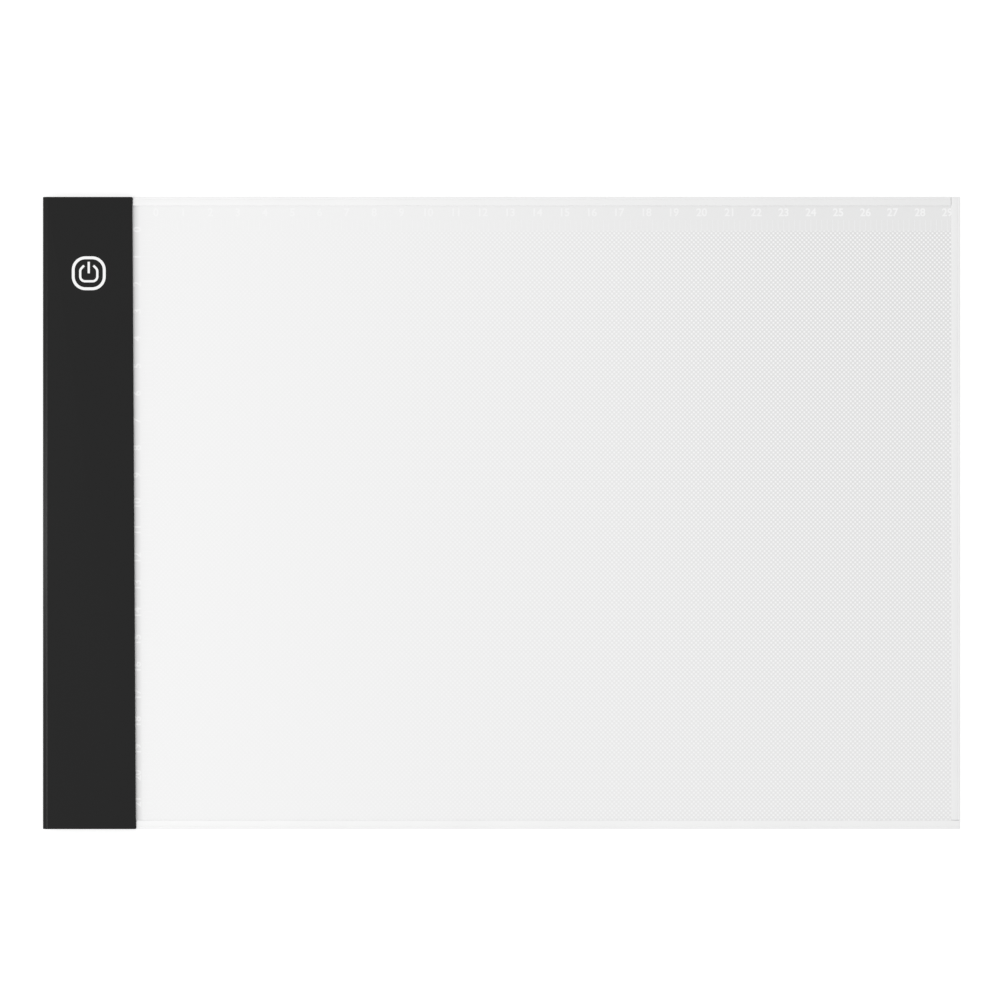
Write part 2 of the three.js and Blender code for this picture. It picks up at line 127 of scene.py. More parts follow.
class TracingPadSizes(bpy.types.PropertyGroup):
    """Sizes of the pad's own details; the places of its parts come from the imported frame"""

    cover_edge: length("Cover edge radius", "Rounding of the cover's far and near top edges", 0.35)
    cover_bevel_width: length("Cover bevel width", "Width of the bevel along the cover's end", 1.55)
    cover_bevel_drop: length("Cover bevel drop", "Drop of the bevel along the cover's end", 0.75)
    cover_bevel_round: length("Cover bevel rounding", "Radius between bevel and side", 0.15)
    cover_bevel_crease: length("Cover bevel crease", "Radius between bevel and top", 1.2)
    cover_inner_edge: length("Cover inner radius", "Rounding of the edge beside the panel", 0.3)
    cover_corner: length("Cover corner radius", "Rounding of the upright corners", 0.3)
    cover_far_width: length("Cover width, far end", "Width of the strip at the ruler's end", 32.8)
    cover_wall: length("Cover wall", "Thickness of the cover's skirts", 1)
    cover_top: length("Cover top", "Thickness of the cover's top", 0.9)
    slot_gap: length("Socket gap", "Clearance between the cover and the socket", 0.2)
    slot_corner: length("Socket corner", "Cut lower corners of the socket", 0.9)

    rail_edge: length("Rail edge radius", "Rounding of a rail's outer edges", 0.35)
    rail_lip_edge: length("Rail lip radius", "Rounding of a rail's lips", 0.15)
    rail_lip: length("Rail lip", "Thickness of a rail's lips", 0.4)
    rail_web: length("Rail web", "Thickness of a rail's outer wall", 1)
    rail_break: length("Rail end rounding", "Broken edges at the rails' ends", 0.06)
    groove_inset: length("Groove inset", "From a rail's outer face to its fine groove", 0.8)
    groove_width: length("Groove width", "Width of the fine groove along a rail", 0.24)
    groove_depth: length("Groove depth", "Depth of the fine groove along a rail", 0.12)

    print_thickness: length("Print thickness", "Thickness of the white print", 0.02)
    ruler_zero_x: length("Ruler zero, X", "Where the far ruler's zero stands", -126.65)
    ruler_zero_y: length("Ruler zero, Y", "Where the side ruler's zero stands", 103.9)
    figure_height: length("Figure height", "Height of the ruler's figures", 3)
    figure_spread: ratio("Figure spread", "Spread of the ink past the type, as a share of its size", 0.022)
    figure_pitch: length("Figure pitch", "Distance between two figures", 10)
    far_figures_y: length("Far figures, Y", "Middle of the far ruler's figures", 110.2)
    side_figures_x: length("Side figures, X", "Middle of the side ruler's figures", -133.55)
    far_figures: how_many("Far figures", "Highest figure of the far ruler", 29)
    side_figures: how_many("Side figures", "Highest figure of the side ruler", 21)
    tick_pitch: length("Tick pitch", "Distance between two ticks", 2)
    tick_width: length("Tick width", "Width of a tick", 0.1)
    far_tick_start: length("Far ticks, start", "Panel side of the far ruler's ticks", 103.3)
    far_tick_length: length("Far ticks, length", "Length of the far ruler's ticks", 4.1)
    side_tick_start: length("Side ticks, start", "Strip side of the side ruler's ticks", -131.7)
    side_tick_length: length("Side ticks, length", "Length of the side ruler's ticks", 3.6)

    symbol_aside: length("Symbol, aside", "Offset of the print from the touch key, to the right", 0.05)
    symbol_down: length("Symbol, down", "Offset of the print from the touch key, to the near side", 0.155)
    symbol_line: length("Symbol line", "Width of the ring's line", 1.05)
    symbol_inner_line: length("Symbol inner line", "Width of the inner lines", 0.82)
    ring_half_width: length("Ring half width", "Middle of the ring's line, sideways", 5.68)
    ring_half_height: length("Ring half height", "Middle of the ring's line, upward", 5.67)
    ring_corner: length("Ring corner", "Corner radius of the ring's line", 4.45)
    bow_side: length("Bow side", "From the symbol's middle to the bow's upright lines", 3.13)
    bow_bottom: length("Bow bottom", "From the symbol's middle down to the bow's lowest line", 2.93)
    bow_shoulder: length("Bow shoulder", "Height at which the bow turns inward", 1.36)
    bow_tip_aside: length("Bow tip, aside", "From the symbol's middle to the bow's tips, sideways", 1.72)
    bow_tip_up: length("Bow tip, up", "From the symbol's middle to the bow's tips, upward", 2.82)
    bow_corner: length("Bow corner", "Corner radius of the bow's line", 1.75)
    bar_length: length("Bar length", "Length of the bar in the bow's opening", 4.2)

    foot_edge: length("Foot edge", "Rounding of a foot's lower edge", 0.3)
    foot_dimple: length("Foot dimple", "Depth of the dimple under a foot", 0.12)
    foot_dimple_radius: length("Foot dimple radius", "Radius of the dimple", 3.2)
    foot_top_height: length("Foot top height", "Height of the slant round a foot's top", 0.1)
    foot_top_inset: length("Foot top inset", "Inset of the slant round a foot's top", 0.05)

    dot_pitch_x: length("Dot pitch, X", "Lengthwise pitch of the guide's dots", 1.62)
    dot_pitch_y: length("Dot pitch, Y", "Crosswise pitch of the guide's dots", 1.64)
    dots_first_x: length("Dots, first X", "Where the dots begin to show more", -90)
    dots_last_x: length("Dots, last X", "Where the dots show fully", 145)
    dots_near_y: length("Dots, near Y", "Where the dots are weakest toward the near edge", -110)
    dots_far_y: length("Dots, far Y", "Where the dots reach their strength toward the far edge", 70)
    dots_faint: ratio("Dots, faint", "Contrast of the dots beside the strip", 0.018)
    dots_strong: ratio("Dots, strong", "Contrast of the dots at the right end", 0.163)
    dots_near: ratio("Dots, near share", "Share of the contrast that is left at the near edge", 0.62)
    dots_dimming: ratio("Dots, dimming", "How much less white the face is where the dots are full", 0.07)
    dots_full: ratio("Dots, full", "Contrast of the dots at which the face is dimmed most", 0.165)
    # Painted shade: the face is darkened in a band beside the strip, where the strip's shadow falls
    shade_depth: ratio("Shade depth", "Darkening of the face beside the strip", 0.12)
    shade_start: length("Shade start", "From the strip to where its shade begins to fade", 1)
    shade_end: length("Shade end", "From the strip to where its shade ends", 2.6)

    led_count: how_many("LED count", "LEDs in the row", 36)
    led_length: length("LED length", "Length of an LED along the row", 3)
    led_window_length: length("LED window length", "Length of an LED's yellow window", 2.4)
    led_window_height: length("LED window height", "Height of an LED's yellow window", 0.84)
    small_break: length("Small edge", "Broken edges of the small inner parts", 0.06)
    driver_reach: length("Driver reach", "From the driver chip's middle to its legs", 1.98)
    touch_reach: length("Touch reach", "From the touch chip's middle to its legs", 0.83)
    diode_cap: length("Diode cap", "Length of the diode's metal ends", 0.6)
    resistor_cap: length("Resistor cap", "Length of a resistor's metal ends", 0.25)
    capacitor_cap: length("Capacitor cap", "Length of a capacitor's metal ends", 0.4)
    cap_margin: length("Cap margin", "How far short of its end a metal cap is looked for", 0.03)


class TracingPadColours(bpy.types.PropertyGroup):
    """Colours of the pad's finishes"""

    cover: colour("Cover", "Black moulding of the control strip", (0.0078, 0.0078, 0.0078))
    rail: colour("Rails", "White moulding of the rails", (0.925, 0.925, 0.925))
    print_ink: colour("Print", "White screen print", (0.95, 0.95, 0.95))
    face: colour("Face", "Opal acrylic of the writing face", (0.925, 0.925, 0.925))
    diffuser: colour("Diffuser", "White film under the face", (0.92, 0.92, 0.92))
    guide_clear: colour("Guide", "Tint of the clear light guide", (0.97, 0.985, 0.98))
    guide_dots: colour("Guide dots", "Dots printed on the light guide", (0.9, 0.9, 0.9))
    back: colour("Back", "White board on the underside", (0.8, 0.8, 0.79))
    rubber: colour("Rubber", "Feet", (0.42, 0.42, 0.41))
    film: colour("Reflector", "White film under the guide", (0.9, 0.9, 0.9))
    tape: colour("Reflecting tape", "Tape on the guide's edges", (0.85, 0.85, 0.83))
    adhesive: colour("Adhesive tape", "Double-sided tape", (0.8, 0.79, 0.74))
    frame: colour("Frame", "Black moulding inside the strip", (0.02, 0.02, 0.022))
    mask_white: colour("LED board", "White solder mask", (0.78, 0.78, 0.72))
    led_housing: colour("LED housing", "White housing of an LED", (0.86, 0.86, 0.84))
    phosphor: colour("Phosphor", "Yellow window of an LED", (0.85, 0.66, 0.12))
    mask_green: colour("Board", "Green solder mask", (0.02, 0.13, 0.05))
    epoxy: colour("Chips", "Moulded chip bodies", (0.015, 0.015, 0.016))
    ferrite: colour("Ferrite", "Body of the coil", (0.05, 0.05, 0.055))
    ceramic: colour("Ceramic", "Body of a capacitor", (0.45, 0.28, 0.14))
    tin: colour("Tin", "Solder, legs and the socket's shell", (0.62, 0.62, 0.63))
    copper: colour("Copper", "Touch pad", (0.72, 0.4, 0.2))
    gold: colour("Gold", "Contacts", (0.8, 0.55, 0.2))
    foam: colour("Foam", "Foam of the touch key", (0.03, 0.03, 0.03))
    # Pores: painted shade in the foam's hollows
    foam_pore: colour("Foam pores", "Pores of the touch key's foam", (0.008, 0.008, 0.008))
    lead_red: colour("Red lead", "Insulation", (0.45, 0.02, 0.015))
    lead_black: colour("Black lead", "Insulation", (0.01, 0.01, 0.01))
    floor_shown: colour("Floor, shown", "Floor as the camera sees it, under its glow", (0.42, 0.42, 0.42))
    floor_plain: colour("Floor, plain", "Floor as it lights the pad", (0.8, 0.8, 0.8))


class TracingPadStage(bpy.types.PropertyGroup):
    """Camera, floor and lamps"""

    view_width: length("View width", "Width that the photograph takes in, at the face", 366.8)
    view_x: length("View X", "Point of the pad under the camera", -0.37)
    view_y: length("View Y", "Point of the pad under the camera", 4.58)
    lens: ratio("Lens", "Focal length in millimetres", 150)
    ambient: ratio("Ambient", "Light of the white room", 0.8)
    key_power: watts("Key lamp", "Large soft lamp", 2.26)
    key_place: place("Key lamp place", "Where the large soft lamp stands", (-0.75, -0.1, 0.9))
    key_side: length("Key lamp side", "Side of the large soft lamp", 450)
    edge_power: watts("Edge lamp", "Low lamp on the strip's side", 0.68)
    edge_place: place("Edge lamp place", "Where the low lamp stands", (-0.9, -0.02, 0.4))
    edge_width: length("Edge lamp width", "Width of the low lamp", 80)
    edge_length: length("Edge lamp length", "Length of the low lamp", 600)
    edge_aim_y: length("Edge lamp aim, Y", "Point of the strip's end that the low lamp looks at", -17)
    floor_side: length("Floor side", "Side of the square floor", 6000)
    floor_aside: length("Floor aside", "How far the floor's diagonal is moved off the pad", 1000)
    floor_gap: length("Floor gap", "Gap under the pad through which its underside is lit", 8)
    glow_near: length("Glow, near", "How far from the pad's middle the floor's glow begins to grow", 300)
    glow_far: length("Glow, far", "How far from the pad's middle the floor's glow is full", 900)
    glow_low: ratio("Glow, low", "Glow of the floor near the pad, as the camera sees it", 0.7)
    glow_high: ratio("Glow, high", "Glow of the floor far from the pad, as the camera sees it", 0.95)


def cover_lean(sizes):
    """How much wider the strip gets for each metre toward its near end"""
    return (COVER_HIGH.x - COVER_LOW.x - sizes.cover_far_width) / (COVER_HIGH.y - COVER_LOW.y)


# Node trees


class NodeSet:
    """Nodes of a tree while they are put together"""

    def __init__(self, tree):
        self.nodes, self.links = tree.nodes, tree.links
        self.nodes.clear()

    def add(self, kind, inputs=None, **settings):
        """A new node with its settings, and with its inputs fed"""
        node = self.nodes.new(kind)
        for key, value in settings.items():
            setattr(node, key, value)
        for key, value in (inputs or {}).items():
            self.feed(node.inputs[key], value)
        return node

    def feed(self, socket, value):
        """Links an output, or a node's first one, to a socket, or else sets the socket's own value"""
        if isinstance(value, bpy.types.Node):
            value = value.outputs[0]
        if isinstance(value, bpy.types.NodeSocket):
            self.links.new(value, socket)
        else:
            socket.default_value = value

    def math(self, operation, first, second=0.0):
        """The result of an operation on two numbers"""
        return self.add("ShaderNodeMath", {0: first, 1: second}, operation=operation).outputs[0]

    def mixed(self, factor, first, second):
        """The first shader where the factor is 0, the second where it is 1"""
        return self.add("ShaderNodeMixShader", {0: factor, 1: first, 2: second})

    def seen_directly(self):
        """1 for rays from the camera and for those that gloss and glass send, 0 for the rest"""
        path = self.add("ShaderNodeLightPath").outputs
        seen = self.math("ADD", path["Is Camera Ray"], path["Is Glossy Ray"])
        return self.math("MINIMUM", self.math("ADD", seen, path["Is Transmission Ray"]), 1.0)


class Recipe(NodeSet):
    """A material while it is put together, with its patterns in Object coordinates"""

    def __init__(self, name):
        self.material = bpy.data.materials.new(name)
        self.material.use_nodes = True
        super().__init__(self.material.node_tree)

    def place(self):
        """Object coordinates in metres"""
        return self.add("ShaderNodeTexCoord").outputs["Object"]

    def axes(self):
        """X, Y and Z in metres"""
        return self.add("ShaderNodeSeparateXYZ", {"Vector": self.place()}).outputs

    def noise(self, scale, detail=2.0, stretch=(1, 1, 1)):
        """Soft random values about one half, with scale features to the metre"""
        stretched = self.add("ShaderNodeMapping", {"Vector": self.place(), "Scale": stretch})
        inputs = {"Vector": stretched, "Scale": scale, "Detail": detail}
        return self.add("ShaderNodeTexNoise", inputs).outputs["Fac"]

    def cells(self, scale, feature="F1"):
        """Distance to the middles of random cells, scale of them to the metre"""
        inputs = {"Vector": self.place(), "Scale": scale}
        return self.add("ShaderNodeTexVoronoi", inputs, feature=feature).outputs["Distance"]

    def span(self, value, low, high, start=NOISE_LOW, end=NOISE_HIGH, kind="LINEAR"):
        """Value mapped from the start-end range to low-high, and held there beyond it"""
        inputs = {"Value": value, "From Min": start, "From Max": end, "To Min": low, "To Max": high}
        return self.add("ShaderNodeMapRange", inputs, interpolation_type=kind).outputs["Result"]

    def shade(self, base, value, spread):
        """A colour that gets darker and lighter by a share, as a random value goes"""
        ramp = self.add("ShaderNodeValToRGB", {"Fac": value})
        low, high = ramp.color_ramp.elements
        low.position, high.position = NOISE_LOW, NOISE_HIGH
        low.color = (*[channel * (1 - spread) for channel in base], 1)
        high.color = (*[min(channel * (1 + spread), 1) for channel in base], 1)
        return ramp.outputs["Color"]

    def blend(self, factor, first, second):
        """The first colour where the factor is 0, the second where it is 1"""
        mix = self.add("ShaderNodeMix", {MIX_FACTOR: factor}, data_type="RGBA")
        for socket, value in ((MIX_FIRST, first), (MIX_SECOND, second)):
            self.feed_colour(mix.inputs[socket], value)
        return mix.outputs[MIX_RESULT]

    def scaled(self, colour, level):
        """A colour times a level"""
        return self.add("ShaderNodeVectorMath", {0: colour, "Scale": level}, operation="SCALE").outputs[0]

    def bump(self, height, depth, strength=1.0):
        """A normal that follows a height from 0 to 1, depth metres deep"""
        inputs = {"Height": height, "Distance": depth, "Strength": strength}
        return self.add("ShaderNodeBump", inputs).outputs["Normal"]

    def feed_colour(self, socket, value):
        """Feeds a colour, which may lack its alpha"""
        self.feed(socket, value if isinstance(value, bpy.types.NodeSocket) else (*value, 1))

    def surface(self, base, roughness, normal=None, **sockets):
        """Ends the recipe with a Principled shader and returns the material"""
        shader = self.add("ShaderNodeBsdfPrincipled", {"Roughness": roughness})
        self.feed_colour(shader.inputs["Base Color"], base)
        if normal is not None:
            self.feed(shader.inputs["Normal"], normal)
        for name, value in sockets.items():
            self.feed(shader.inputs[name.replace("_", " ")], value)
        return self.end(shader)

    def end(self, shader):
        """Ends the recipe with any shader and returns the material"""
        self.add("ShaderNodeOutputMaterial", {"Surface": shader})
        return self.material


class ShapeRule(NodeSet):
    """A geometry tree with named inputs, whose result is made real and painted"""

    def __init__(self, name, *inputs):
        self.tree = bpy.data.node_groups.new(name, "GeometryNodeTree")
        for label, kind in (*inputs, ("Material", "Material")):
            self.tree.interface.new_socket(label, in_out="INPUT", socket_type=f"NodeSocket{kind}")
        self.tree.interface.new_socket("Shape", in_out="OUTPUT", socket_type="NodeSocketGeometry")
        super().__init__(self.tree)
        self.given = self.add("NodeGroupInput").outputs

    def end(self, shape):
        """Makes the shape's copies real, paints it and returns the tree"""
        real = self.add("GeometryNodeRealizeInstances", {"Geometry": shape})
        paint = self.add("GeometryNodeSetMaterial", {"Geometry": real, "Material": self.given["Material"]})
        self.add("NodeGroupOutput", {"Shape": paint})
        return self.tree


# Materials


def moulded(name, base, rough, grain_depth, grain_scale=2600, uneven=0.04, **sockets):
    """A plastic moulding: spark-eroded grain, faint flow marks and a slightly uneven sheen"""
    recipe = Recipe(name)
    grain = recipe.noise(grain_scale, detail=3)
    flow = recipe.noise(scale=45, detail=2, stretch=(1, 0.35, 1))
    return recipe.surface(
        recipe.shade(base, flow, uneven),
        recipe.span(grain, low=0.88 * rough, high=1.12 * rough),
        recipe.bump(grain, grain_depth),
        **sockets,
    )


def dot_lattice(recipe, sizes):
    """Staggered dots of the guide: 1 at a dot's middle and -1 in the middle of a gap"""
    x, y, _ = recipe.axes()
    waves = [
        recipe.math("COSINE", recipe.math("MULTIPLY", value, 2 * math.pi / pitch))
        for value, pitch in ((x, sizes.dot_pitch_x), (y, sizes.dot_pitch_y))
    ]
    return recipe.math("MULTIPLY", *waves), x, y


def past_rulers(recipe, sizes, x, y):
    """1 on the panel's field, 0 under the two rulers, which the dots leave free"""
    border = sizes.dot_pitch_x / 4
    left, top = sizes.side_tick_start + sizes.side_tick_length, sizes.far_tick_start
    right_of_side = recipe.span(x, 0, 1, left - border, left + border)
    near_of_far = recipe.span(y, 1, 0, top - border, top + border)
    return recipe.math("MULTIPLY", right_of_side, near_of_far)


def strip_shade(recipe, sizes, x, y):
    """Level of the face under a painted shade along the strip, whose inner edge leans: darker next to the
    strip, where its shadow falls
    """
    edge = recipe.math("SUBTRACT", x, COVER_LOW.x + sizes.cover_far_width)
    lean = recipe.math("MULTIPLY", recipe.math("SUBTRACT", COVER_HIGH.y, y), cover_lean(sizes))
    beside = recipe.math("SUBTRACT", edge, lean)
    return recipe.span(beside, 1 - sizes.shade_depth, 1, sizes.shade_start, sizes.shade_end)


def dotted_white(recipe, sizes, base, with_painted_shade=False):
    """White that shows the guide's dots, with a painted shadow of the dots in the gaps between them; away
    from the LEDs they are stronger and it is less white
    """
    # The dots are the guide's print; the gaps between them go darker than the face, a painted shadow of the
    # dots on the reflector below
    dot_shadow_level, dot_level, widest_gap = -0.489, 1.141, -0.35
    lattice, x, y = dot_lattice(recipe, sizes)
    dots = recipe.span(lattice, dot_shadow_level, dot_level, widest_gap, 1, "SMOOTHSTEP")
    faint, strong = sizes.dots_faint, sizes.dots_strong
    along = recipe.span(x, faint, strong, sizes.dots_first_x, sizes.dots_last_x, "SMOOTHSTEP")
    across = recipe.span(y, sizes.dots_near, 1, sizes.dots_near_y, sizes.dots_far_y)
    amount = recipe.math("MULTIPLY", along, across)
    shown = recipe.math("MULTIPLY", amount, past_rulers(recipe, sizes, x, y))
    whiteness = recipe.span(amount, 1, 1 - sizes.dots_dimming, 0, sizes.dots_full)
    level = recipe.math("ADD", recipe.math("MULTIPLY", dots, shown), whiteness)
    # Painted shade along the strip
    if with_painted_shade:
        level = recipe.math("MULTIPLY", level, strip_shade(recipe, sizes, x, y))
    return recipe.scaled(base, level)


def diffuser_film(sizes, colours):
    """Matt white film with a fine fibre; it shows the guide's dots with their painted shadows"""
    recipe = Recipe("diffuser film")
    fibre = recipe.noise(scale=5200, detail=2)
    white = dotted_white(recipe, sizes, colours.diffuser)
    return recipe.surface(white, recipe.span(fibre, low=0.6, high=0.75), recipe.bump(fibre, depth=0.004 * MM))


def opal_face(sizes, colours):
    """Satin opal acrylic that lets the guide's dots show, with their painted shadows, and carries a painted
    shade beside the strip; fine scuffs break its gloss
    """
    recipe = Recipe("face sheet")
    wear = recipe.noise(scale=900, detail=4, stretch=(1, 0.2, 1))
    return recipe.surface(
        dotted_white(recipe, sizes, colours.face, with_painted_shade=True),
        recipe.span(wear, low=0.4, high=0.5),
        recipe.bump(wear, depth=0.001 * MM),
        Specular_IOR_Level=0.32,
    )


def guide_acrylic(sizes, colours):
    """Clear plate with printed white dots, which get larger away from the LEDs"""
    recipe = Recipe("dotted guide")
    dots, x, _ = dot_lattice(recipe, sizes)
    size = recipe.span(x, low=0.75, high=0.2, start=-0.14, end=0.16)
    ink_shown = recipe.math("GREATER_THAN", dots, size)
    gloss = recipe.add("ShaderNodeBsdfAnisotropic", {"Roughness": 0.06})
    clear = recipe.add("ShaderNodeBsdfTransparent", {"Color": (*colours.guide_clear, 1)})
    plate = recipe.mixed(recipe.add("ShaderNodeFresnel", {"IOR": 1.49}), clear, gloss)
    white = recipe.add("ShaderNodeBsdfDiffuse", {"Color": (*colours.guide_dots, 1)})
    return recipe.end(recipe.mixed(ink_shown, plate, white))


def board_grain(colours):
    """Back board: a fine leathery grain in matt white"""
    recipe = Recipe("grained back")
    grain = recipe.cells(1500, "SMOOTH_F1")
    cloud = recipe.noise(scale=30, detail=3)
    return recipe.surface(
        recipe.shade(colours.back, cloud, spread=0.015),
        recipe.span(grain, low=0.42, high=0.6, start=0, end=0.6),
        recipe.bump(grain, depth=0.05 * MM, strength=0.6),
    )


def rubber(colours):
    """Grey rubber: dusty bloom and a fine grain"""
    recipe = Recipe("foot rubber")
    bloom = recipe.noise(scale=420, detail=4)
    grain = recipe.noise(scale=3800, detail=2)
    return recipe.surface(
        recipe.shade(colours.rubber, bloom, spread=0.1),
        recipe.span(bloom, low=0.72, high=0.92),
        recipe.bump(grain, depth=0.02 * MM),
        Specular_IOR_Level=0.35,
    )


def tape(name, base, stretch):
    """Tape: long fibres in a paper carrier"""
    recipe = Recipe(name)
    fibre = recipe.noise(scale=1400, detail=4, stretch=stretch)
    return recipe.surface(
        recipe.shade(base, fibre, spread=0.04),
        recipe.span(fibre, low=0.6, high=0.85),
        recipe.bump(fibre, depth=0.02 * MM),
    )


def film(colours):
    """Reflector film: satin white with a faint cloud"""
    recipe = Recipe("reflector film")
    cloud = recipe.noise(scale=260, detail=3)
    return recipe.surface(
        recipe.shade(colours.film, cloud, spread=0.012), recipe.span(cloud, low=0.45, high=0.6)
    )


def solder_mask(name, base, track_pitch):
    """Solder mask over tracks, which show as faint raised and lighter bands"""
    wander_pitches, track_gain, track_lift = 6, 1.35, 0.01
    recipe = Recipe(name)
    _, y, _ = recipe.axes()
    wander = recipe.math("MULTIPLY", recipe.noise(scale=90, detail=0), wander_pitches * track_pitch)
    phase = recipe.math("MULTIPLY", recipe.math("ADD", y, wander), 2 * math.pi / track_pitch)
    track = recipe.span(recipe.math("SINE", phase), low=0, high=1, start=0.1, end=0.4)
    lighter = [min(channel * track_gain + track_lift, 1) for channel in base]
    speck = recipe.noise(scale=3000, detail=2)
    return recipe.surface(
        recipe.blend(track, base, lighter),
        recipe.span(speck, low=0.25, high=0.4),
        recipe.bump(track, depth=0.03 * MM),
    )


def led_package(sizes, colours):
    """White LED housings with a yellow window, one to each pitch along the row"""
    pitch = (LED_ROW_HIGH.y - LED_ROW_LOW.y - sizes.led_length) / (sizes.led_count - 1)
    first, middle = LED_ROW_LOW.y + sizes.led_length / 2, (LED_ROW_LOW.z + LED_ROW_HIGH.z) / 2
    recipe = Recipe("led housings")
    _, y, z = recipe.axes()
    steps = recipe.math("DIVIDE", recipe.math("SUBTRACT", y, first), pitch)
    off = recipe.math("ABSOLUTE", recipe.math("SUBTRACT", steps, recipe.math("ROUND", steps)))
    sideways = recipe.math("LESS_THAN", off, sizes.led_window_length / 2 / pitch)
    up = recipe.math("ABSOLUTE", recipe.math("SUBTRACT", z, middle))
    window = recipe.math("MULTIPLY", sideways, recipe.math("LESS_THAN", up, sizes.led_window_height / 2))
    grain = recipe.noise(scale=4000, detail=2)
    housing = recipe.shade(colours.led_housing, grain, spread=0.02)
    glow = recipe.shade(colours.phosphor, grain, spread=0.1)
    return recipe.surface(
        recipe.blend(window, housing, glow),
        recipe.span(grain, low=0.35, high=0.5),
        recipe.bump(grain, depth=0.01 * MM),
    )


def metal(name, base, rough, streaks, tarnish=0.06):
    """Plated metal: drawing lines, uneven tarnish"""
    recipe = Recipe(name)
    line = recipe.noise(scale=2400, detail=2, stretch=streaks)
    cloud = recipe.noise(scale=700, detail=3)
    return recipe.surface(
        recipe.shade(base, cloud, tarnish),
        recipe.span(line, low=0.8 * rough, high=1.25 * rough),
        recipe.bump(line, depth=0.006 * MM),
        Metallic=1.0,
    )


def foam(colours):
    """Open-cell foam, its pores darkened by a painted shade in the hollows"""
    recipe = Recipe("key foam")
    pore = recipe.cells(2600)
    wall = recipe.span(pore, low=0, high=1, start=0.1, end=0.5)
    return recipe.surface(
        recipe.blend(wall, colours.foam_pore, colours.foam),
        roughness=0.95,
        normal=recipe.bump(pore, depth=0.15 * MM),
    )


def ink(name, base, painted_lift=0.0):
    """Screen print: a thin, slightly uneven coat; toward the pad's right end it is whiter by a share, painted
    light that keeps the print bright where the lamps light the face less
    """
    recipe = Recipe(name)
    coat = recipe.noise(scale=3000, detail=3)
    x, _, _ = recipe.axes()
    # Painted light: the print is lifted toward the right end, where less lamp light falls
    level = recipe.span(x, low=1, high=1 + painted_lift, start=0.06, end=0.12)
    return recipe.surface(
        recipe.scaled(recipe.shade(base, coat, spread=0.01), level),
        recipe.span(coat, low=0.4, high=0.55),
        recipe.bump(coat, depth=0.004 * MM),
    )


# Mesh helpers


def object_of(mesh, name, *materials):
    """A new object in the scene that shows a mesh"""
    piece = bpy.data.objects.new(name, mesh)
    mesh.name = name
    bpy.context.scene.collection.objects.link(piece)
    for material in materials:
        mesh.materials.append(material)
    return piece


def discard(holder):
    """Removes a helper object and its data"""
    data = holder.data
    kind = bpy.data.curves if isinstance(data, bpy.types.Curve) else bpy.data.meshes
    bpy.data.objects.remove(holder)
    kind.remove(data)


def smoothed(mesh, angle=SMOOTH_ANGLE):
    """Shades a mesh smooth but for edges sharper than an angle"""
    mesh.shade_smooth()
    mesh.set_sharp_from_angle(angle=math.radians(angle))
    return mesh


def mesh_of(shape, angle=SMOOTH_ANGLE):
    """Turns a finished bmesh into a smooth mesh whose faces point outward"""
    bmesh.ops.recalc_face_normals(shape, faces=shape.faces)
    mesh = bpy.data.meshes.new("mesh")
    shape.to_mesh(mesh)
    shape.free()
    return smoothed(mesh, angle)


def evaluated_mesh(piece):
    """A plain mesh of what an object's modifiers, or a curve, come to"""
    graph = bpy.context.evaluated_depsgraph_get()
    return bpy.data.meshes.new_from_object(piece.evaluated_get(graph), depsgraph=graph)


def settled(piece, angle=SMOOTH_ANGLE):
    """Replaces a piece's mesh by its evaluated one and removes its modifiers"""
    mesh = evaluated_mesh(piece)
    piece.modifiers.clear()
    old, piece.data = piece.data, mesh
    bpy.data.meshes.remove(old)
    mesh.name = piece.name
    smoothed(mesh, angle)
    return piece


def with_broken_edges(piece, width, angle):
    """Breaks a piece's edges that are sharper than an angle"""
    bevel = piece.modifiers.new("broken edges", "BEVEL")
    bevel.width, bevel.segments = width, 2
    bevel.limit_method, bevel.angle_limit = "ANGLE", math.radians(angle)
    return settled(piece, BROKEN_SMOOTH_ANGLE)


def with_rule(holder, tree, **values):
    """The mesh that a geometry tree makes of a helper object, which it uses up"""
    modifier = holder.modifiers.new(tree.name, "NODES")
    modifier.node_group = tree
    for item in tree.interface.items_tree:
        if item.in_out == "INPUT" and item.socket_type != "NodeSocketGeometry":
            modifier[item.identifier] = values[item.name.lower().replace(" ", "_")]
    mesh = evaluated_mesh(holder)
    mesh.materials.clear()
    discard(holder)
    return mesh


def path_object(points, closed=False):
    """A helper curve through some points"""
    curve = bpy.data.curves.new("path", "CURVE")
    curve.dimensions = "3D"
    spline = curve.splines.new("POLY")
    spline.points.add(len(points) - 1)
    for point, spot in zip(spline.points, points):
        point.co = (*spot, 1)
    spline.use_cyclic_u = closed
    path = bpy.data.objects.new("path", curve)
    bpy.context.scene.collection.objects.link(path)
    return path


def joined(name, meshes, material):
    """One piece from several meshes, which it uses up"""
    shape = bmesh.new()
    for mesh in meshes:
        shape.from_mesh(mesh)
        bpy.data.meshes.remove(mesh)
    bmesh.ops.remove_doubles(shape, verts=shape.verts, dist=SAME_STROKE_PLACE)
    for face in shape.faces:
        face.material_index = 0
    return object_of(mesh_of(shape), name, material)


def ring_walls(shape, rings):
    """Skins rings of as many corners each, and closes the first and last"""
    rows = [[shape.verts.new(corner) for corner in ring] for ring in rings]
    for lower, upper in zip(rows, rows[1:]):
        for index in range(len(lower)):
            after = (index + 1) % len(lower)
            shape.faces.new((lower[index], lower[after], upper[after], upper[index]))
    shape.faces.new(reversed(rows[0]))
    shape.faces.new(rows[-1])


def ringed(name, rings, material, angle=SMOOTH_ANGLE):
    """A closed piece skinned over rings"""
    shape = bmesh.new()
    ring_walls(shape, rings)
    return object_of(mesh_of(shape, angle), name, material)


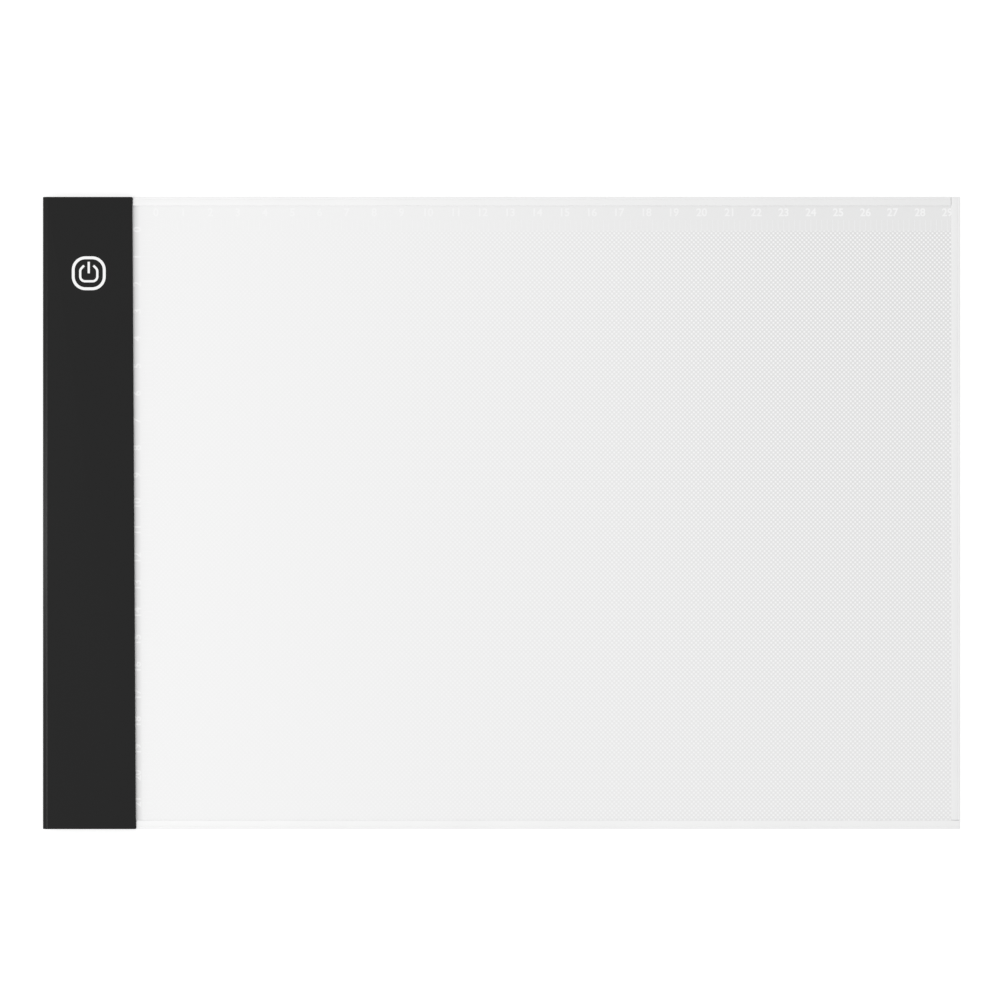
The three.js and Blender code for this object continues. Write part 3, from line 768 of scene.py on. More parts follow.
def arc(centre, radius, start, end, steps):
    """Points on an arc between two angles in degrees"""
    points = []
    for index in range(steps + 1):
        angle = math.radians(start + (end - start) * index / steps)
        points.append((centre[0] + radius * math.cos(angle), centre[1] + radius * math.sin(angle)))
    return points


def prism(outline, low, high):
    """A cutting tool: an outline of (x, z) points carried along Y"""
    shape = bmesh.new()
    ring_walls(shape, [[(x, y, z) for x, z in outline] for y in (low, high)])
    return object_of(mesh_of(shape), "tool")


def cut_by(piece, tool):
    """Cuts a closed tool out of a piece and throws the tool away"""
    modifier = piece.modifiers.new("cut", "BOOLEAN")
    modifier.operation, modifier.solver, modifier.object = "DIFFERENCE", "EXACT", tool
    settled(piece)
    discard(tool)


def kept(piece, slot, *nodes):
    """Hangs a finished piece on the body that it rides on, and hides the nodes that it stands for; the slot,
    its finish, is not used
    """
    if not piece.data.polygons:
        raise RuntimeError(f"{piece.name} has no faces")
    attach(piece, BODY)
    if nodes:
        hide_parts(*nodes)


def dressed(material, *nodes):
    """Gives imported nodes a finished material"""
    for name in nodes:
        node = frame["nodes"][name]
        if not node.material_slots:
            node.data.materials.append(material)
        for slot in node.material_slots:
            slot.material = material


# Cover of the control strip


def quarter_round(top, radius):
    """Section of a rounded edge: (inset from the side, height), from the side up to the top"""
    return [(radius - x, top - radius + z) for x, z in arc((0, 0), radius, 0, 90, EDGE_STEPS)]


def bevel_section(sizes, top):
    """Section of the bevel: rounded into the side, and with a soft crease into the top"""
    width, drop = sizes.cover_bevel_width, sizes.cover_bevel_drop
    low, high = sizes.cover_bevel_round, sizes.cover_bevel_crease
    slope = math.atan2(drop, width)
    reach_low, reach_high = low * math.tan(math.pi / 4 - slope / 2), high * math.tan(slope / 2)
    turn = 90 - math.degrees(slope)
    rounding = arc((0, 0), low, 0, turn, BEVEL_ROUND_STEPS)
    crease = arc((0, 0), high, turn, 90, BEVEL_CREASE_STEPS)
    section = [(low - x, top - drop - reach_low + z) for x, z in rounding]
    section += [(width + reach_high - x, top - high + z) for x, z in crease]
    return section


def inset_at(section, height):
    """Inset of a section at a height, straight between its points"""
    if height <= section[0][1]:
        return section[0][0]
    for (first, low), (second, high) in zip(section, section[1:]):
        if height <= high and high > low:
            return first + (second - first) * (height - low) / (high - low)
    return section[-1][0]


def cover_levels(sizes):
    """Heights of the cover's rings, with how far each lies inside the outer, the inner and the end edge"""
    top = COVER_HIGH.z
    sections = (
        quarter_round(top, sizes.cover_edge),
        quarter_round(top, sizes.cover_inner_edge),
        bevel_section(sizes, top),
    )
    heights = sorted({COVER_LOW.z, *[height for section in sections for _, height in section]})
    merged = [heights[0]]
    for height in heights[1:]:
        if height - merged[-1] > SAME_PLACE:
            merged.append(height)
    merged[-1] = top
    return [(z, *[inset_at(section, z) for section in sections]) for z in merged]


def cover_ring(sizes, height, outer, inner, end):
    """One ring round the cover; its inner edge leans, so that the strip widens toward the near end"""
    lean = cover_lean(sizes)
    left, near, far = COVER_LOW.x + end, COVER_LOW.y + outer, COVER_HIGH.y - outer
    corner = max(sizes.cover_corner - outer, LEAST_CORNER)
    far_x = COVER_LOW.x + sizes.cover_far_width + lean * outer - inner
    near_x = COVER_HIGH.x - lean * outer - inner
    points = []
    for centre, start in (
        ((near_x - corner, near + corner), 270),
        ((far_x - corner, far - corner), 0),
        ((left + corner, far - corner), 90),
        ((left + corner, near + corner), 180),
    ):
        points += arc(centre, corner, start, start + 90, CORNER_STEPS)
    return [(x, y, height) for x, y in points]


def socket_outline(sizes, grow):
    """Outline of the socket's mouth with its two cut corners, grown on every side"""
    low_x, high_x = SOCKET_LOW.x - grow, SOCKET_HIGH.x + grow
    low_z, high_z = SOCKET_LOW.z - grow, SOCKET_HIGH.z + grow
    corner = sizes.slot_corner
    return [
        (low_x, low_z + corner), (low_x + corner, low_z), (high_x - corner, low_z),
        (high_x, low_z + corner), (high_x, high_z), (low_x, high_z),
    ]


def cover_piece(sizes, material):
    """The cover: skinned over its rings, then hollowed from below and cut out for the socket"""
    rings = [cover_ring(sizes, *level) for level in cover_levels(sizes)]
    cover = ringed("strip_cover", rings, material)
    wall = sizes.cover_wall
    low_x, high_x = COVER_LOW.x + wall, COVER_HIGH.x + wall
    low_z, high_z = COVER_LOW.z - wall, COVER_HIGH.z - sizes.cover_top
    hollow = [(low_x, low_z), (high_x, low_z), (high_x, high_z), (low_x, high_z)]
    cut_by(cover, prism(hollow, COVER_LOW.y + wall, COVER_HIGH.y - wall))
    slot = socket_outline(sizes, sizes.slot_gap)
    cut_by(cover, prism(slot, COVER_HIGH.y - 2 * wall, COVER_HIGH.y + wall))
    return cover


class TRACINGPAD_OT_cover(bpy.types.Operator):
    """Make the black cover of the control strip"""

    bl_idname = "tracingpad.cover"
    bl_label = "Strip cover"

    def execute(self, context):
        sizes, colours = context.scene.tracing_pad_sizes, context.scene.tracing_pad_colours
        plastic = moulded(
            "cover plastic", colours.cover, rough=0.24, grain_depth=0.0015 * MM, Specular_IOR_Level=0.188
        )
        kept(cover_piece(sizes, plastic), "cover_black", "control_cover")
        return {"FINISHED"}


# Printed power symbol


def stroke_rule():
    """Geometry nodes that carry a flat line along a path with rounded corners"""
    rule = ShapeRule(
        "printed_stroke",
        ("Path", "Geometry"), ("Corner radius", "Float"), ("Line width", "Float"), ("Thickness", "Float"),
    )
    given = rule.given
    fillet = rule.add("GeometryNodeFilletCurve", {
        "Curve": given["Path"], "Radius": given["Corner radius"], "Count": STROKE_CORNER_STEPS,
        "Limit Radius": True,
    }, mode="POLY")
    profile = rule.add("GeometryNodeCurvePrimitiveQuadrilateral", {
        "Width": given["Line width"], "Height": given["Thickness"],
    })
    return rule.end(rule.add("GeometryNodeCurveToMesh", {
        "Curve": fillet, "Profile Curve": profile, "Fill Caps": True,
    }))


def symbol_strokes(sizes):
    """Points, closure, corner radius and line width of the ring, the bow and the bar"""
    half_x, half_y = sizes.ring_half_width, sizes.ring_half_height
    ring = [(-half_x, -half_y), (half_x, -half_y), (half_x, half_y), (-half_x, half_y)]
    side, bottom, shoulder = sizes.bow_side, -sizes.bow_bottom, sizes.bow_shoulder
    right = [(side, bottom), (side, shoulder), (sizes.bow_tip_aside, sizes.bow_tip_up)]
    bow = [(-across, up) for across, up in reversed(right)] + right
    bar = [(0, 0), (0, sizes.bar_length)]
    return (
        (ring, True, sizes.ring_corner, sizes.symbol_line),
        (bow, False, sizes.bow_corner, sizes.symbol_inner_line),
        (bar, False, 0, sizes.symbol_inner_line),
    )


class TRACINGPAD_OT_power_symbol(bpy.types.Operator):
    """Print the white power symbol over the touch key"""

    bl_idname = "tracingpad.power_symbol"
    bl_label = "Power symbol"

    def execute(self, context):
        sizes = context.scene.tracing_pad_sizes
        white = ink("symbol ink", context.scene.tracing_pad_colours.print_ink)
        x, y = KEY_CENTRE.x + sizes.symbol_aside, KEY_CENTRE.y - sizes.symbol_down
        z = COVER_HIGH.z + sizes.print_thickness / 2
        tree = stroke_rule()
        strokes = [
            with_rule(
                path_object([(x + across, y + up, z) for across, up in points], closed), tree,
                corner_radius=corner, line_width=width, thickness=sizes.print_thickness, material=white,
            )
            for points, closed, corner, width in symbol_strokes(sizes)
        ]
        kept(joined("power_symbol", strokes, white), "print_white")
        return {"FINISHED"}


# Printed ruler


def spread_ink(shape, spread):
    """Moves a figure's sides outward, mitred at its corners, and fills its two ends again"""
    ends = [face for face in shape.faces if abs(face.calc_center_median().z) > spread]
    bmesh.ops.delete(shape, geom=ends, context="FACES")
    shape.normal_update()
    moves = []
    for vert in shape.verts:
        first, second = (face.normal for face in vert.link_faces)
        moves.append((first + second) * (spread / (1 + first.dot(second))))
    for vert, move in zip(shape.verts, moves):
        vert.co += move
    for up in (1, -1):
        rim = [
            edge for edge in shape.edges
            if edge.is_boundary and all(vert.co.z * up > 0 for vert in edge.verts)
        ]
        bmesh.ops.triangle_fill(shape, use_beauty=True, edges=rim, normal=(0, 0, up))


def figure_shape(text, spread):
    """A figure's closed mesh, one unit of type size and one thick, and the corners of its box"""
    curve_steps, half_thickness, speck = 5, 0.5, 0.004
    letters = bpy.data.curves.new("figure", "FONT")
    letters.body, letters.resolution_u, letters.extrude = text, curve_steps, half_thickness
    holder = bpy.data.objects.new("figure", letters)
    bpy.context.scene.collection.objects.link(holder)
    mesh = evaluated_mesh(holder)
    discard(holder)
    shape = bmesh.new()
    shape.from_mesh(mesh)
    bpy.data.meshes.remove(mesh)
    bmesh.ops.remove_doubles(shape, verts=shape.verts, dist=speck)
    spread_ink(shape, spread)
    spots = [vert.co for vert in shape.verts]
    low, high = (Vector([pick(spot[axis] for spot in spots) for axis in range(3)]) for pick in (min, max))
    return shape, low, high


def figures_piece(name, sizes, material, highest, place_of, turn):
    """The figures of one ruler as one piece; all stand on the line of the zero"""
    zero, low, high = figure_shape("0", sizes.figure_spread)
    zero.free()
    scale = sizes.figure_height / (high.y - low.y)
    mid_y = (high.y + low.y) / 2
    whole = bmesh.new()
    for number in range(highest + 1):
        shape, low, high = figure_shape(str(number), sizes.figure_spread)
        middle = Vector(((low.x + high.x) / 2, mid_y, 0))
        put = (
            Matrix.Translation(place_of(number))
            @ Matrix.Rotation(turn, 4, "Z")
            @ Matrix.Diagonal((scale, scale, sizes.print_thickness, 1))
            @ Matrix.Translation(-middle)
        )
        bmesh.ops.transform(shape, matrix=put, verts=shape.verts)
        mesh = bpy.data.meshes.new("figure")
        shape.to_mesh(mesh)
        shape.free()
        whole.from_mesh(mesh)
        bpy.data.meshes.remove(mesh)
    return object_of(mesh_of(whole), name, material)


def tick_rule():
    """Geometry nodes that repeat one thin bar at even steps"""
    rule = ShapeRule(
        "ruler_ticks", ("Count", "Int"), ("Start", "Vector"), ("Step", "Vector"), ("Tick size", "Vector")
    )
    given = rule.given
    line = rule.add("GeometryNodeMeshLine", {
        "Count": given["Count"], "Start Location": given["Start"], "Offset": given["Step"],
    })
    bar = rule.add("GeometryNodeMeshCube", {"Size": given["Tick size"]})
    return rule.end(rule.add("GeometryNodeInstanceOnPoints", {"Points": line, "Instance": bar}))


def ticks_piece(name, tree, material, reach, start, step, size):
    """One ruler's ticks, from its zero as far as it reaches"""
    count = int(reach / max(abs(part) for part in step)) + 1
    holder = object_of(bpy.data.meshes.new(name), "ticks")
    mesh = with_rule(holder, tree, count=count, start=start, step=step, tick_size=size, material=material)
    return object_of(mesh, name, material)


class TRACINGPAD_OT_ruler(bpy.types.Operator):
    """Print the two centimetre rulers on the face"""

    bl_idname = "tracingpad.ruler"
    bl_label = "Printed ruler"

    def execute(self, context):
        sizes = context.scene.tracing_pad_sizes
        white = ink("ruler ink", context.scene.tracing_pad_colours.print_ink, painted_lift=0.03)
        zero_x, zero_y, z = sizes.ruler_zero_x, sizes.ruler_zero_y, SHEET_TOP + sizes.print_thickness / 2

        def far_place(number):
            """Middle of a figure of the far ruler"""
            return (zero_x + number * sizes.figure_pitch, sizes.far_figures_y, z)

        def side_place(number):
            """Middle of a figure of the side ruler"""
            return (sizes.side_figures_x, zero_y - number * sizes.figure_pitch, z)

        tree, width, thick, pitch = tick_rule(), sizes.tick_width, sizes.print_thickness, sizes.tick_pitch
        far_start = (zero_x, sizes.far_tick_start + sizes.far_tick_length / 2, z)
        side_start = (sizes.side_tick_start + sizes.side_tick_length / 2, zero_y, z)
        for piece in (
            figures_piece("ruler_figures_far", sizes, white, sizes.far_figures, far_place, 0),
            figures_piece("ruler_figures_side", sizes, white, sizes.side_figures, side_place, math.pi / 2),
            ticks_piece("ruler_ticks_far", tree, white, TOP_RAIL_HIGH.x - zero_x, far_start,
                        (pitch, 0, 0), (width, sizes.far_tick_length, thick)),
            ticks_piece("ruler_ticks_side", tree, white, zero_y - BOTTOM_RAIL_HIGH.y, side_start,
                        (0, -pitch, 0), (sizes.side_tick_length, width, thick)),
        ):
            kept(piece, "print_white")
        return {"FINISHED"}


# Rails


def rail_section(sizes):
    """Section of a rail: points (inward, up), and the run of them that lines its slot"""
    low, high, width = TOP_RAIL_LOW.z, TOP_RAIL_HIGH.z, TOP_RAIL_HIGH.y - TOP_RAIL_LOW.y
    outer, lip, web, edge = sizes.rail_edge, sizes.rail_lip, sizes.rail_web, sizes.rail_lip_edge
    middle, half, depth = sizes.groove_inset, sizes.groove_width / 2, sizes.groove_depth
    below = arc((outer, low + outer), outer, 180, 270, EDGE_STEPS)
    below += arc((width - edge, low + edge), edge, 270, 360, LIP_STEPS)
    slot = [(width, low + lip), (web, low + lip), (web, high - lip), (width, high - lip)]
    above = arc((width - edge, high - edge), edge, 0, 90, LIP_STEPS)
    above += [(middle + half, high), (middle + half / 2, high - depth),
              (middle - half / 2, high - depth), (middle - half, high)]
    above += arc((outer, high - outer), outer, 90, 180, EDGE_STEPS)
    return below + slot + above, range(len(below), len(below) + len(slot))


def rail_piece(name, sizes, material, start, end, closed, place_of):
    """A rail from start to end; where it's closed, a stop of one wall fills its slot at the end"""
    section, slot = rail_section(sizes)
    shape = bmesh.new()

    def row(along):
        """New corners of the section at a place along the rail"""
        return [shape.verts.new(place_of(along, *point)) for point in section]

    first, second = row(start), row(end - sizes.rail_web if closed else end)
    for index in range(len(section)):
        after = (index + 1) % len(section)
        shape.faces.new((first[index], first[after], second[after], second[index]))
    shape.faces.new(first)
    if closed:
        outside = [index for index in range(len(section)) if index not in slot[1:-1]]
        last = {index: shape.verts.new(place_of(end, *section[index])) for index in outside}
        for index, after in zip(outside, outside[1:] + outside[:1]):
            shape.faces.new((second[index], second[after], last[after], last[index]))
        shape.faces.new([second[index] for index in slot])
        shape.faces.new(list(last.values()))
    else:
        shape.faces.new(second)
    return with_broken_edges(object_of(mesh_of(shape), name, material), sizes.rail_break, RAIL_BREAK_ANGLE)


class TRACINGPAD_OT_rails(bpy.types.Operator):
    """Make the three white edge rails"""

    bl_idname = "tracingpad.rails"
    bl_label = "Edge rails"

    def execute(self, context):
        sizes, colours = context.scene.tracing_pad_sizes, context.scene.tracing_pad_colours
        white = moulded(
            "rail plastic", colours.rail, rough=0.42, grain_depth=0.002 * MM, grain_scale=1800,
            uneven=0.01, Specular_IOR_Level=0.32,
        )
        far, near, right = TOP_RAIL_HIGH.y, BOTTOM_RAIL_LOW.y, RIGHT_RAIL_HIGH.x
        for name, node, start, end, closed, place_of in (
            ("far_rail", "top_rail", TOP_RAIL_LOW.x, TOP_RAIL_HIGH.x, False,
             lambda along, inward, up: (along, far - inward, up)),
            ("end_rail", "right_rail", RIGHT_RAIL_LOW.y, RIGHT_RAIL_HIGH.y, True,
             lambda along, inward, up: (right - inward, along, up)),
            ("near_rail", "bottom_rail", BOTTOM_RAIL_LOW.x, BOTTOM_RAIL_HIGH.x, True,
             lambda along, inward, up: (along, near + inward, up)),
        ):
            kept(rail_piece(name, sizes, white, start, end, closed, place_of), "rail_white", node)
        return {"FINISHED"}


# Panel, back and feet


class TRACINGPAD_OT_panel_layers(bpy.types.Operator):
    """Finish the layers of the lit panel and the back board"""

    bl_idname = "tracingpad.panel_layers"
    bl_label = "Panel layers"

    def execute(self, context):
        sizes, colours = context.scene.tracing_pad_sizes, context.scene.tracing_pad_colours
        along_all, along_y = (0.3, 0.3, 1), (1, 0.15, 1)
        dressed(opal_face(sizes, colours), "top_sheet")
        dressed(diffuser_film(sizes, colours), "diffuser_sheet")
        dressed(guide_acrylic(sizes, colours), "light_guide")
        dressed(film(colours), "reflector_sheet")
        dressed(board_grain(colours), "back_plate")
        dressed(tape("reflecting tape", colours.tape, along_all),
                "edge_tape_top", "edge_tape_right", "edge_tape_bottom")
        dressed(tape("adhesive tape", colours.adhesive, along_y),
                "cover_tape", "board_tape", "led_tape_far", "led_tape_near")
        return {"FINISHED"}


def foot_profile(sizes, radius, low, high):
    """Radii and heights of a foot, from its dimple round its lower edge to its top"""
    dimple, dent, edge = sizes.foot_dimple_radius, sizes.foot_dimple, sizes.foot_edge
    dimple_shares = (0.12, 0.3, 0.5, 0.7, 0.85, 1)
    profile = [(share * dimple, low + dent * math.cos(share * math.pi / 2) ** 2) for share in dimple_shares]
    profile += [(r, low + edge + z) for r, z in arc((radius - edge, 0), edge, 270, 360, FOOT_EDGE_STEPS)]
    return profile + [(radius, high - sizes.foot_top_height), (radius - sizes.foot_top_inset, high)]


def foot_piece(node, sizes, material):
    """A turned rubber foot with a rounded lower edge and a shallow dimple"""
    low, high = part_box(node)
    centre, radius = (low + high) / 2, (high.x - low.x) / 2
    turns = [2 * math.pi * index / FOOT_TURNS for index in range(FOOT_TURNS)]
    rings = [
        [(centre.x + r * math.cos(turn), centre.y + r * math.sin(turn), z) for turn in turns]
        for r, z in foot_profile(sizes, radius, low.z, high.z)
    ]
    return ringed(f"rubber_{node}", rings, material)


class TRACINGPAD_OT_feet(bpy.types.Operator):
    """Make the four rubber feet"""

    bl_idname = "tracingpad.feet"
    bl_label = "Feet"

    def execute(self, context):
        grey = rubber(context.scene.tracing_pad_colours)
        for node in ("foot_1", "foot_2", "foot_3", "foot_4"):
            kept(foot_piece(node, context.scene.tracing_pad_sizes, grey), "foot_rubber", node)
        return {"FINISHED"}


# Inner parts


def softened(node, name, sizes, *materials, finish=None):
    """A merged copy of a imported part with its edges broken, and a finish for each face"""
    shape = bmesh.new()
    shape.from_mesh(frame["nodes"][node].data)
    bmesh.ops.remove_doubles(shape, verts=shape.verts, dist=SAME_PLACE)
    flat = math.radians(FLAT_ANGLE)
    bmesh.ops.dissolve_limit(shape, angle_limit=flat, verts=shape.verts, edges=shape.edges)
    for face in shape.faces:
        face.material_index = finish(face.calc_center_median()) if finish else 0
    return with_broken_edges(object_of(mesh_of(shape), name, *materials), sizes.small_break, PART_BREAK_ANGLE)


def away_from_middle(node, axis, reach):
    """A test that says 1 for places further than a reach from a part's middle plane"""
    low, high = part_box(node)
    middle = (low[axis] + high[axis]) / 2
    return lambda spot: int(abs(spot[axis] - middle) > reach)


class TRACINGPAD_OT_strip_parts(bpy.types.Operator):
    """Finish the frame and the LED bar inside the strip"""

    bl_idname = "tracingpad.strip_parts"
    bl_label = "Frame and LED bar"

    def execute(self, context):
        sizes, colours = context.scene.tracing_pad_sizes, context.scene.tracing_pad_colours
        dressed(moulded("frame plastic", colours.frame, rough=0.55, grain_depth=0.01 * MM), "bay_frame")
        dressed(solder_mask("white solder mask", colours.mask_white, track_pitch=1.3 * MM), "led_board")
        dressed(led_package(sizes, colours), "led_row")
        return {"FINISHED"}


def lead_rule():
    """Geometry nodes that carry a round section along a path"""
    rule = ShapeRule("lead", ("Path", "Geometry"), ("Radius", "Float"))
    section = rule.add("GeometryNodeCurvePrimitiveCircle", {
        "Resolution": LEAD_SIDES, "Radius": rule.given["Radius"],
    })
    return rule.end(rule.add("GeometryNodeCurveToMesh", {
        "Curve": rule.given["Path"], "Profile Curve": section, "Fill Caps": True,
    }))


def lead_piece(name, node, tree, material):
    """A lead that steps aside once, from its solder joint to the LED board"""
    bend_start_share, bend_length_share = 0.15, 0.6
    low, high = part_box(node)
    radius = (high.z - low.z) / 2
    start, end = low.y + radius, high.y - radius
    points = []
    for index in range(LEAD_STEPS + 1):
        share = index / LEAD_STEPS
        bend = min(max((share - bend_start_share) / bend_length_share, 0), 1)
        ease = bend * bend * (3 - 2 * bend)
        points.append((low.x + share * (high.x - low.x), start + (end - start) * ease, (low.z + high.z) / 2))
    return joined(name, [with_rule(path_object(points), tree, radius=radius, material=material)], material)


class TRACINGPAD_OT_leads(bpy.types.Operator):
    """Make the two leads from the board to the LED bar"""

    bl_idname = "tracingpad.leads"
    bl_label = "Leads"

    def execute(self, context):
        colours, tree = context.scene.tracing_pad_colours, lead_rule()
        for hue, base in (("red", colours.lead_red), ("black", colours.lead_black)):
            skin = moulded(
                f"{hue} insulation", base, rough=0.45, grain_depth=0.004 * MM, grain_scale=2200, uneven=0.06
            )
            kept(lead_piece(f"{hue}_lead", f"led_lead_{hue}", tree, skin), f"lead_{hue}", f"led_lead_{hue}")
        return {"FINISHED"}


class TRACINGPAD_OT_controller(bpy.types.Operator):
    """Finish the controller board and the parts on it"""

    bl_idname = "tracingpad.controller"
    bl_label = "Controller board"

    def execute(self, context):
        sizes, colours = context.scene.tracing_pad_sizes, context.scene.tracing_pad_colours
        green = solder_mask("green solder mask", colours.mask_green, track_pitch=0.9 * MM)
        dressed(green, "controller_board")
        tin = metal("tinned legs", colours.tin, rough=0.32, streaks=(1, 0.3, 1))
        epoxy, ceramic, ferrite = (
            moulded(name, base, rough=rough, grain_depth=depth * MM, grain_scale=scale, uneven=uneven)
            for name, base, rough, depth, scale, uneven in (
                ("chip epoxy", colours.epoxy, 0.5, 0.008, 4200, 0.08),
                ("capacitor body", colours.ceramic, 0.45, 0.006, 3600, 0.08),
                ("coil body", colours.ferrite, 0.62, 0.02, 2600, 0.15),
            )
        )

        def body(node, body_material, slot, axis, reach):
            """Makes a part with its own finish, and tin further from its middle than a reach"""
            test = away_from_middle(node, axis, reach)
            kept(softened(node, f"{node}_body", sizes, body_material, tin, finish=test), slot, node)

        body("driver_chip", epoxy, "chip_black", 0, sizes.driver_reach)
        body("touch_chip", epoxy, "chip_black", 0, sizes.touch_reach)
        for node, body_material, slot, axis, cap in (
            ("rectifier_diode", epoxy, "chip_black", 0, sizes.diode_cap),
            ("sense_resistor_1", epoxy, "chip_black", 0, sizes.resistor_cap),
            ("sense_resistor_2", epoxy, "chip_black", 0, sizes.resistor_cap),
            ("input_capacitor", ceramic, "capacitor_ceramic", 1, sizes.capacitor_cap),
            ("output_capacitor", ceramic, "capacitor_ceramic", 1, sizes.capacitor_cap),
        ):
            low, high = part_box(node)
            body(node, body_material, slot, axis, (high[axis] - low[axis]) / 2 - cap - sizes.cap_margin)
        coil = softened("power_inductor", "power_inductor_body", sizes, ferrite)
        kept(coil, "inductor_ferrite", "power_inductor")
        return {"FINISHED"}


def foam_piece(name, node, material):
    """Foam block, pressed between board and cover, so that its sides bulge a little"""
    bulge_share, corner_share = 0.03, 0.25
    low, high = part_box(node)
    centre, half = (low + high) / 2, (high - low) / 2
    outline = []
    for quarter, (side_x, side_y) in enumerate(((1, 1), (-1, 1), (-1, -1), (1, -1))):
        middle = (side_x * (1 - corner_share), side_y * (1 - corner_share))
        outline += arc(middle, corner_share, quarter * 90, quarter * 90 + 90, FOAM_CORNER_STEPS)
    rings = []
    for level in range(FOAM_LEVELS + 1):
        share = level / FOAM_LEVELS
        swell = 1 - bulge_share + bulge_share * math.sin(share * math.pi)
        z = low.z + (high.z - low.z) * share
        rings.append([(centre.x + half.x * swell * u, centre.y + half.y * swell * v, z) for u, v in outline])
    return ringed(name, rings, material, FOAM_SMOOTH_ANGLE)


class TRACINGPAD_OT_touch_key(bpy.types.Operator):
    """Finish the touch key's copper pad and make its foam"""

    bl_idname = "tracingpad.touch_key"
    bl_label = "Touch key"

    def execute(self, context):
        colours = context.scene.tracing_pad_colours
        copper = metal("bare copper", colours.copper, rough=0.35, streaks=(1, 1, 1), tarnish=0.15)
        dressed(copper, "touch_electrode")
        kept(foam_piece("key_foam_block", "touch_foam", foam(colours)), "key_foam", "touch_foam")
        return {"FINISHED"}


class TRACINGPAD_OT_socket(bpy.types.Operator):
    """Finish the power socket"""

    bl_idname = "tracingpad.socket"
    bl_label = "Power socket"

    def execute(self, context):
        sizes, colours = context.scene.tracing_pad_sizes, context.scene.tracing_pad_colours
        steel = metal("tinned steel", colours.tin, rough=0.28, streaks=(0.3, 1, 1))
        black = moulded("tongue plastic", colours.epoxy, rough=0.4, grain_depth=0.004 * MM)
        gilt = metal("gold plating", colours.gold, rough=0.25, streaks=(1, 0.3, 1))
        kept(softened("usb_shell", "socket_shell", sizes, steel), "socket_steel", "usb_shell")
        kept(softened("usb_tongue", "socket_tongue", sizes, black), "tongue_plastic", "usb_tongue")
        dressed(gilt, *[name for name in frame["nodes"] if name.startswith("usb_contact_")])
        return {"FINISHED"}


# Stage


def floor_paint(stage, colours):
    """Pale floor that shows as white and keeps the pad's shadow; clear from below and across a small gap"""
    recipe = Recipe("pale floor")
    seen = recipe.seen_directly()
    reach = recipe.add("ShaderNodeVectorMath", {0: recipe.place()}, operation="LENGTH").outputs["Value"]
    glow = recipe.span(
        reach, stage.glow_low, stage.glow_high, stage.glow_near, stage.glow_far, "SMOOTHSTEP"
    )
    white = recipe.add("ShaderNodeEmission", {"Strength": recipe.math("MULTIPLY", seen, glow)})
    plain = recipe.add("ShaderNodeBsdfDiffuse", {"Color": (*colours.floor_plain, 1)})
    lit = recipe.add("ShaderNodeBsdfDiffuse", {"Color": (*colours.floor_shown, 1)})
    shown = recipe.add("ShaderNodeAddShader", {0: recipe.mixed(seen, plain, lit), 1: white})
    below = recipe.add("ShaderNodeNewGeometry").outputs["Backfacing"]
    ray = recipe.add("ShaderNodeLightPath").outputs["Ray Length"]
    hidden = recipe.math("MAXIMUM", below, recipe.math("LESS_THAN", ray, stage.floor_gap))
    return recipe.end(recipe.mixed(hidden, shown, recipe.add("ShaderNodeBsdfTransparent")))


def floor_piece(stage, colours):
    """The square floor under the feet, its diagonal moved off the pad"""
    half, aside = stage.floor_side / 2, stage.floor_aside
    shape = bmesh.new()
    corners = ((-half, -half), (half, -half), (half, half), (-half, half))
    shape.faces.new([shape.verts.new((x + aside, y - aside, FLOOR_HEIGHT)) for x, y in corners])
    mesh = bpy.data.meshes.new("floor")
    shape.to_mesh(mesh)
    shape.free()
    return object_of(mesh, "floor", floor_paint(stage, colours))


def white_room(scene, ambient):
    """World: white where it's seen, an even soft light elsewhere"""
    scene.world = bpy.data.worlds.new("white_room")
    scene.world.use_nodes = True
    room = NodeSet(scene.world.node_tree)
    light, shown = (
        room.add("ShaderNodeBackground", {"Color": (1, 1, 1, 1), "Strength": strength})
        for strength in (ambient, 1)
    )
    room.add("ShaderNodeOutputWorld", {"Surface": room.mixed(room.seen_directly(), light, shown)})


def lamp(name, spot, aim, side_x, side_y, power):
    """A rectangular lamp that looks at a point"""
    light = bpy.data.lights.new(name, "AREA")
    light.shape, light.size, light.size_y, light.energy = "RECTANGLE", side_x, side_y, power
    holder = bpy.data.objects.new(name, light)
    holder.location = spot
    holder.rotation_euler = (Vector(aim) - Vector(spot)).to_track_quat("-Z", "Y").to_euler()
    bpy.context.scene.collection.objects.link(holder)


def camera(scene, stage):
    """The camera, straight above the face"""
    eye = bpy.data.cameras.new("camera")
    eye.sensor_width, eye.lens = SENSOR_WIDTH, stage.lens
    eye.dof.use_dof = False
    holder = bpy.data.objects.new("camera", eye)
    distance = stage.view_width * eye.lens / eye.sensor_width
    holder.location = (stage.view_x, stage.view_y, SHEET_TOP + distance)
    scene.collection.objects.link(holder)
    scene.camera = holder


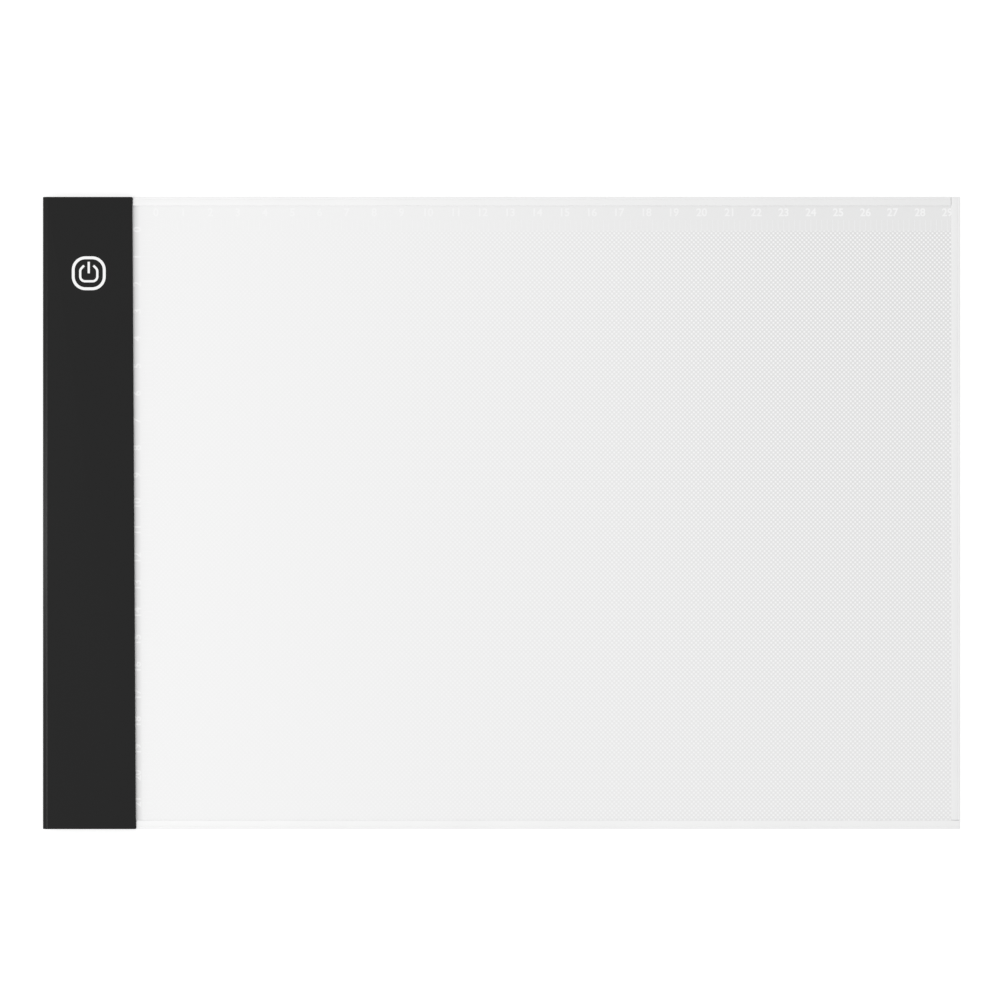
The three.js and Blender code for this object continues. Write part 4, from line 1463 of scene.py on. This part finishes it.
class TRACINGPAD_OT_stage(bpy.types.Operator):
    """Set the camera, the pale floor and the soft lamps"""

    bl_idname = "tracingpad.stage"
    bl_label = "Stage"

    def execute(self, context):
        scene, stage = context.scene, context.scene.tracing_pad_stage
        scene.view_settings.view_transform = "Standard"
        white_room(scene, stage.ambient)
        floor_piece(stage, scene.tracing_pad_colours)
        lamp("key_lamp", stage.key_place, (0, 0, SHEET_TOP), stage.key_side, stage.key_side, stage.key_power)
        strip_end = (COVER_LOW.x, stage.edge_aim_y, COVER_HIGH.z)
        lamp("edge_lamp", stage.edge_place, strip_end, stage.edge_width, stage.edge_length, stage.edge_power)
        camera(scene, stage)
        return {"FINISHED"}


OPERATORS = (
    TRACINGPAD_OT_stage,
    TRACINGPAD_OT_cover,
    TRACINGPAD_OT_power_symbol,
    TRACINGPAD_OT_rails,
    TRACINGPAD_OT_panel_layers,
    TRACINGPAD_OT_ruler,
    TRACINGPAD_OT_feet,
    TRACINGPAD_OT_strip_parts,
    TRACINGPAD_OT_leads,
    TRACINGPAD_OT_controller,
    TRACINGPAD_OT_touch_key,
    TRACINGPAD_OT_socket,
)


class TRACINGPAD_PT_panel(bpy.types.Panel):
    """Lists the pad's operators"""

    bl_idname = "TRACINGPAD_PT_panel"
    bl_label = "Tracing pad"
    bl_space_type = "VIEW_3D"
    bl_region_type = "UI"
    bl_category = "Tracing pad"

    def draw(self, context):
        column = self.layout.column(align=True)
        for operator in OPERATORS:
            column.operator(operator.bl_idname)


CLASSES = (TracingPadSizes, TracingPadColours, TracingPadStage, *OPERATORS, TRACINGPAD_PT_panel)


def register():
    """Registers the classes and gives the scene its settings"""
    for item in CLASSES:
        bpy.utils.register_class(item)
    bpy.types.Scene.tracing_pad_sizes = PointerProperty(type=TracingPadSizes)
    bpy.types.Scene.tracing_pad_colours = PointerProperty(type=TracingPadColours)
    bpy.types.Scene.tracing_pad_stage = PointerProperty(type=TracingPadStage)


def unregister():
    """Takes the settings and the classes away again"""
    del bpy.types.Scene.tracing_pad_stage
    del bpy.types.Scene.tracing_pad_colours
    del bpy.types.Scene.tracing_pad_sizes
    for item in reversed(CLASSES):
        bpy.utils.unregister_class(item)


def main():
    """Runs every operator in order"""
    register()
    for operator in OPERATORS:
        group, name = operator.bl_idname.split(".")
        getattr(getattr(bpy.ops, group), name)()


if __name__ == "__main__":
    main()
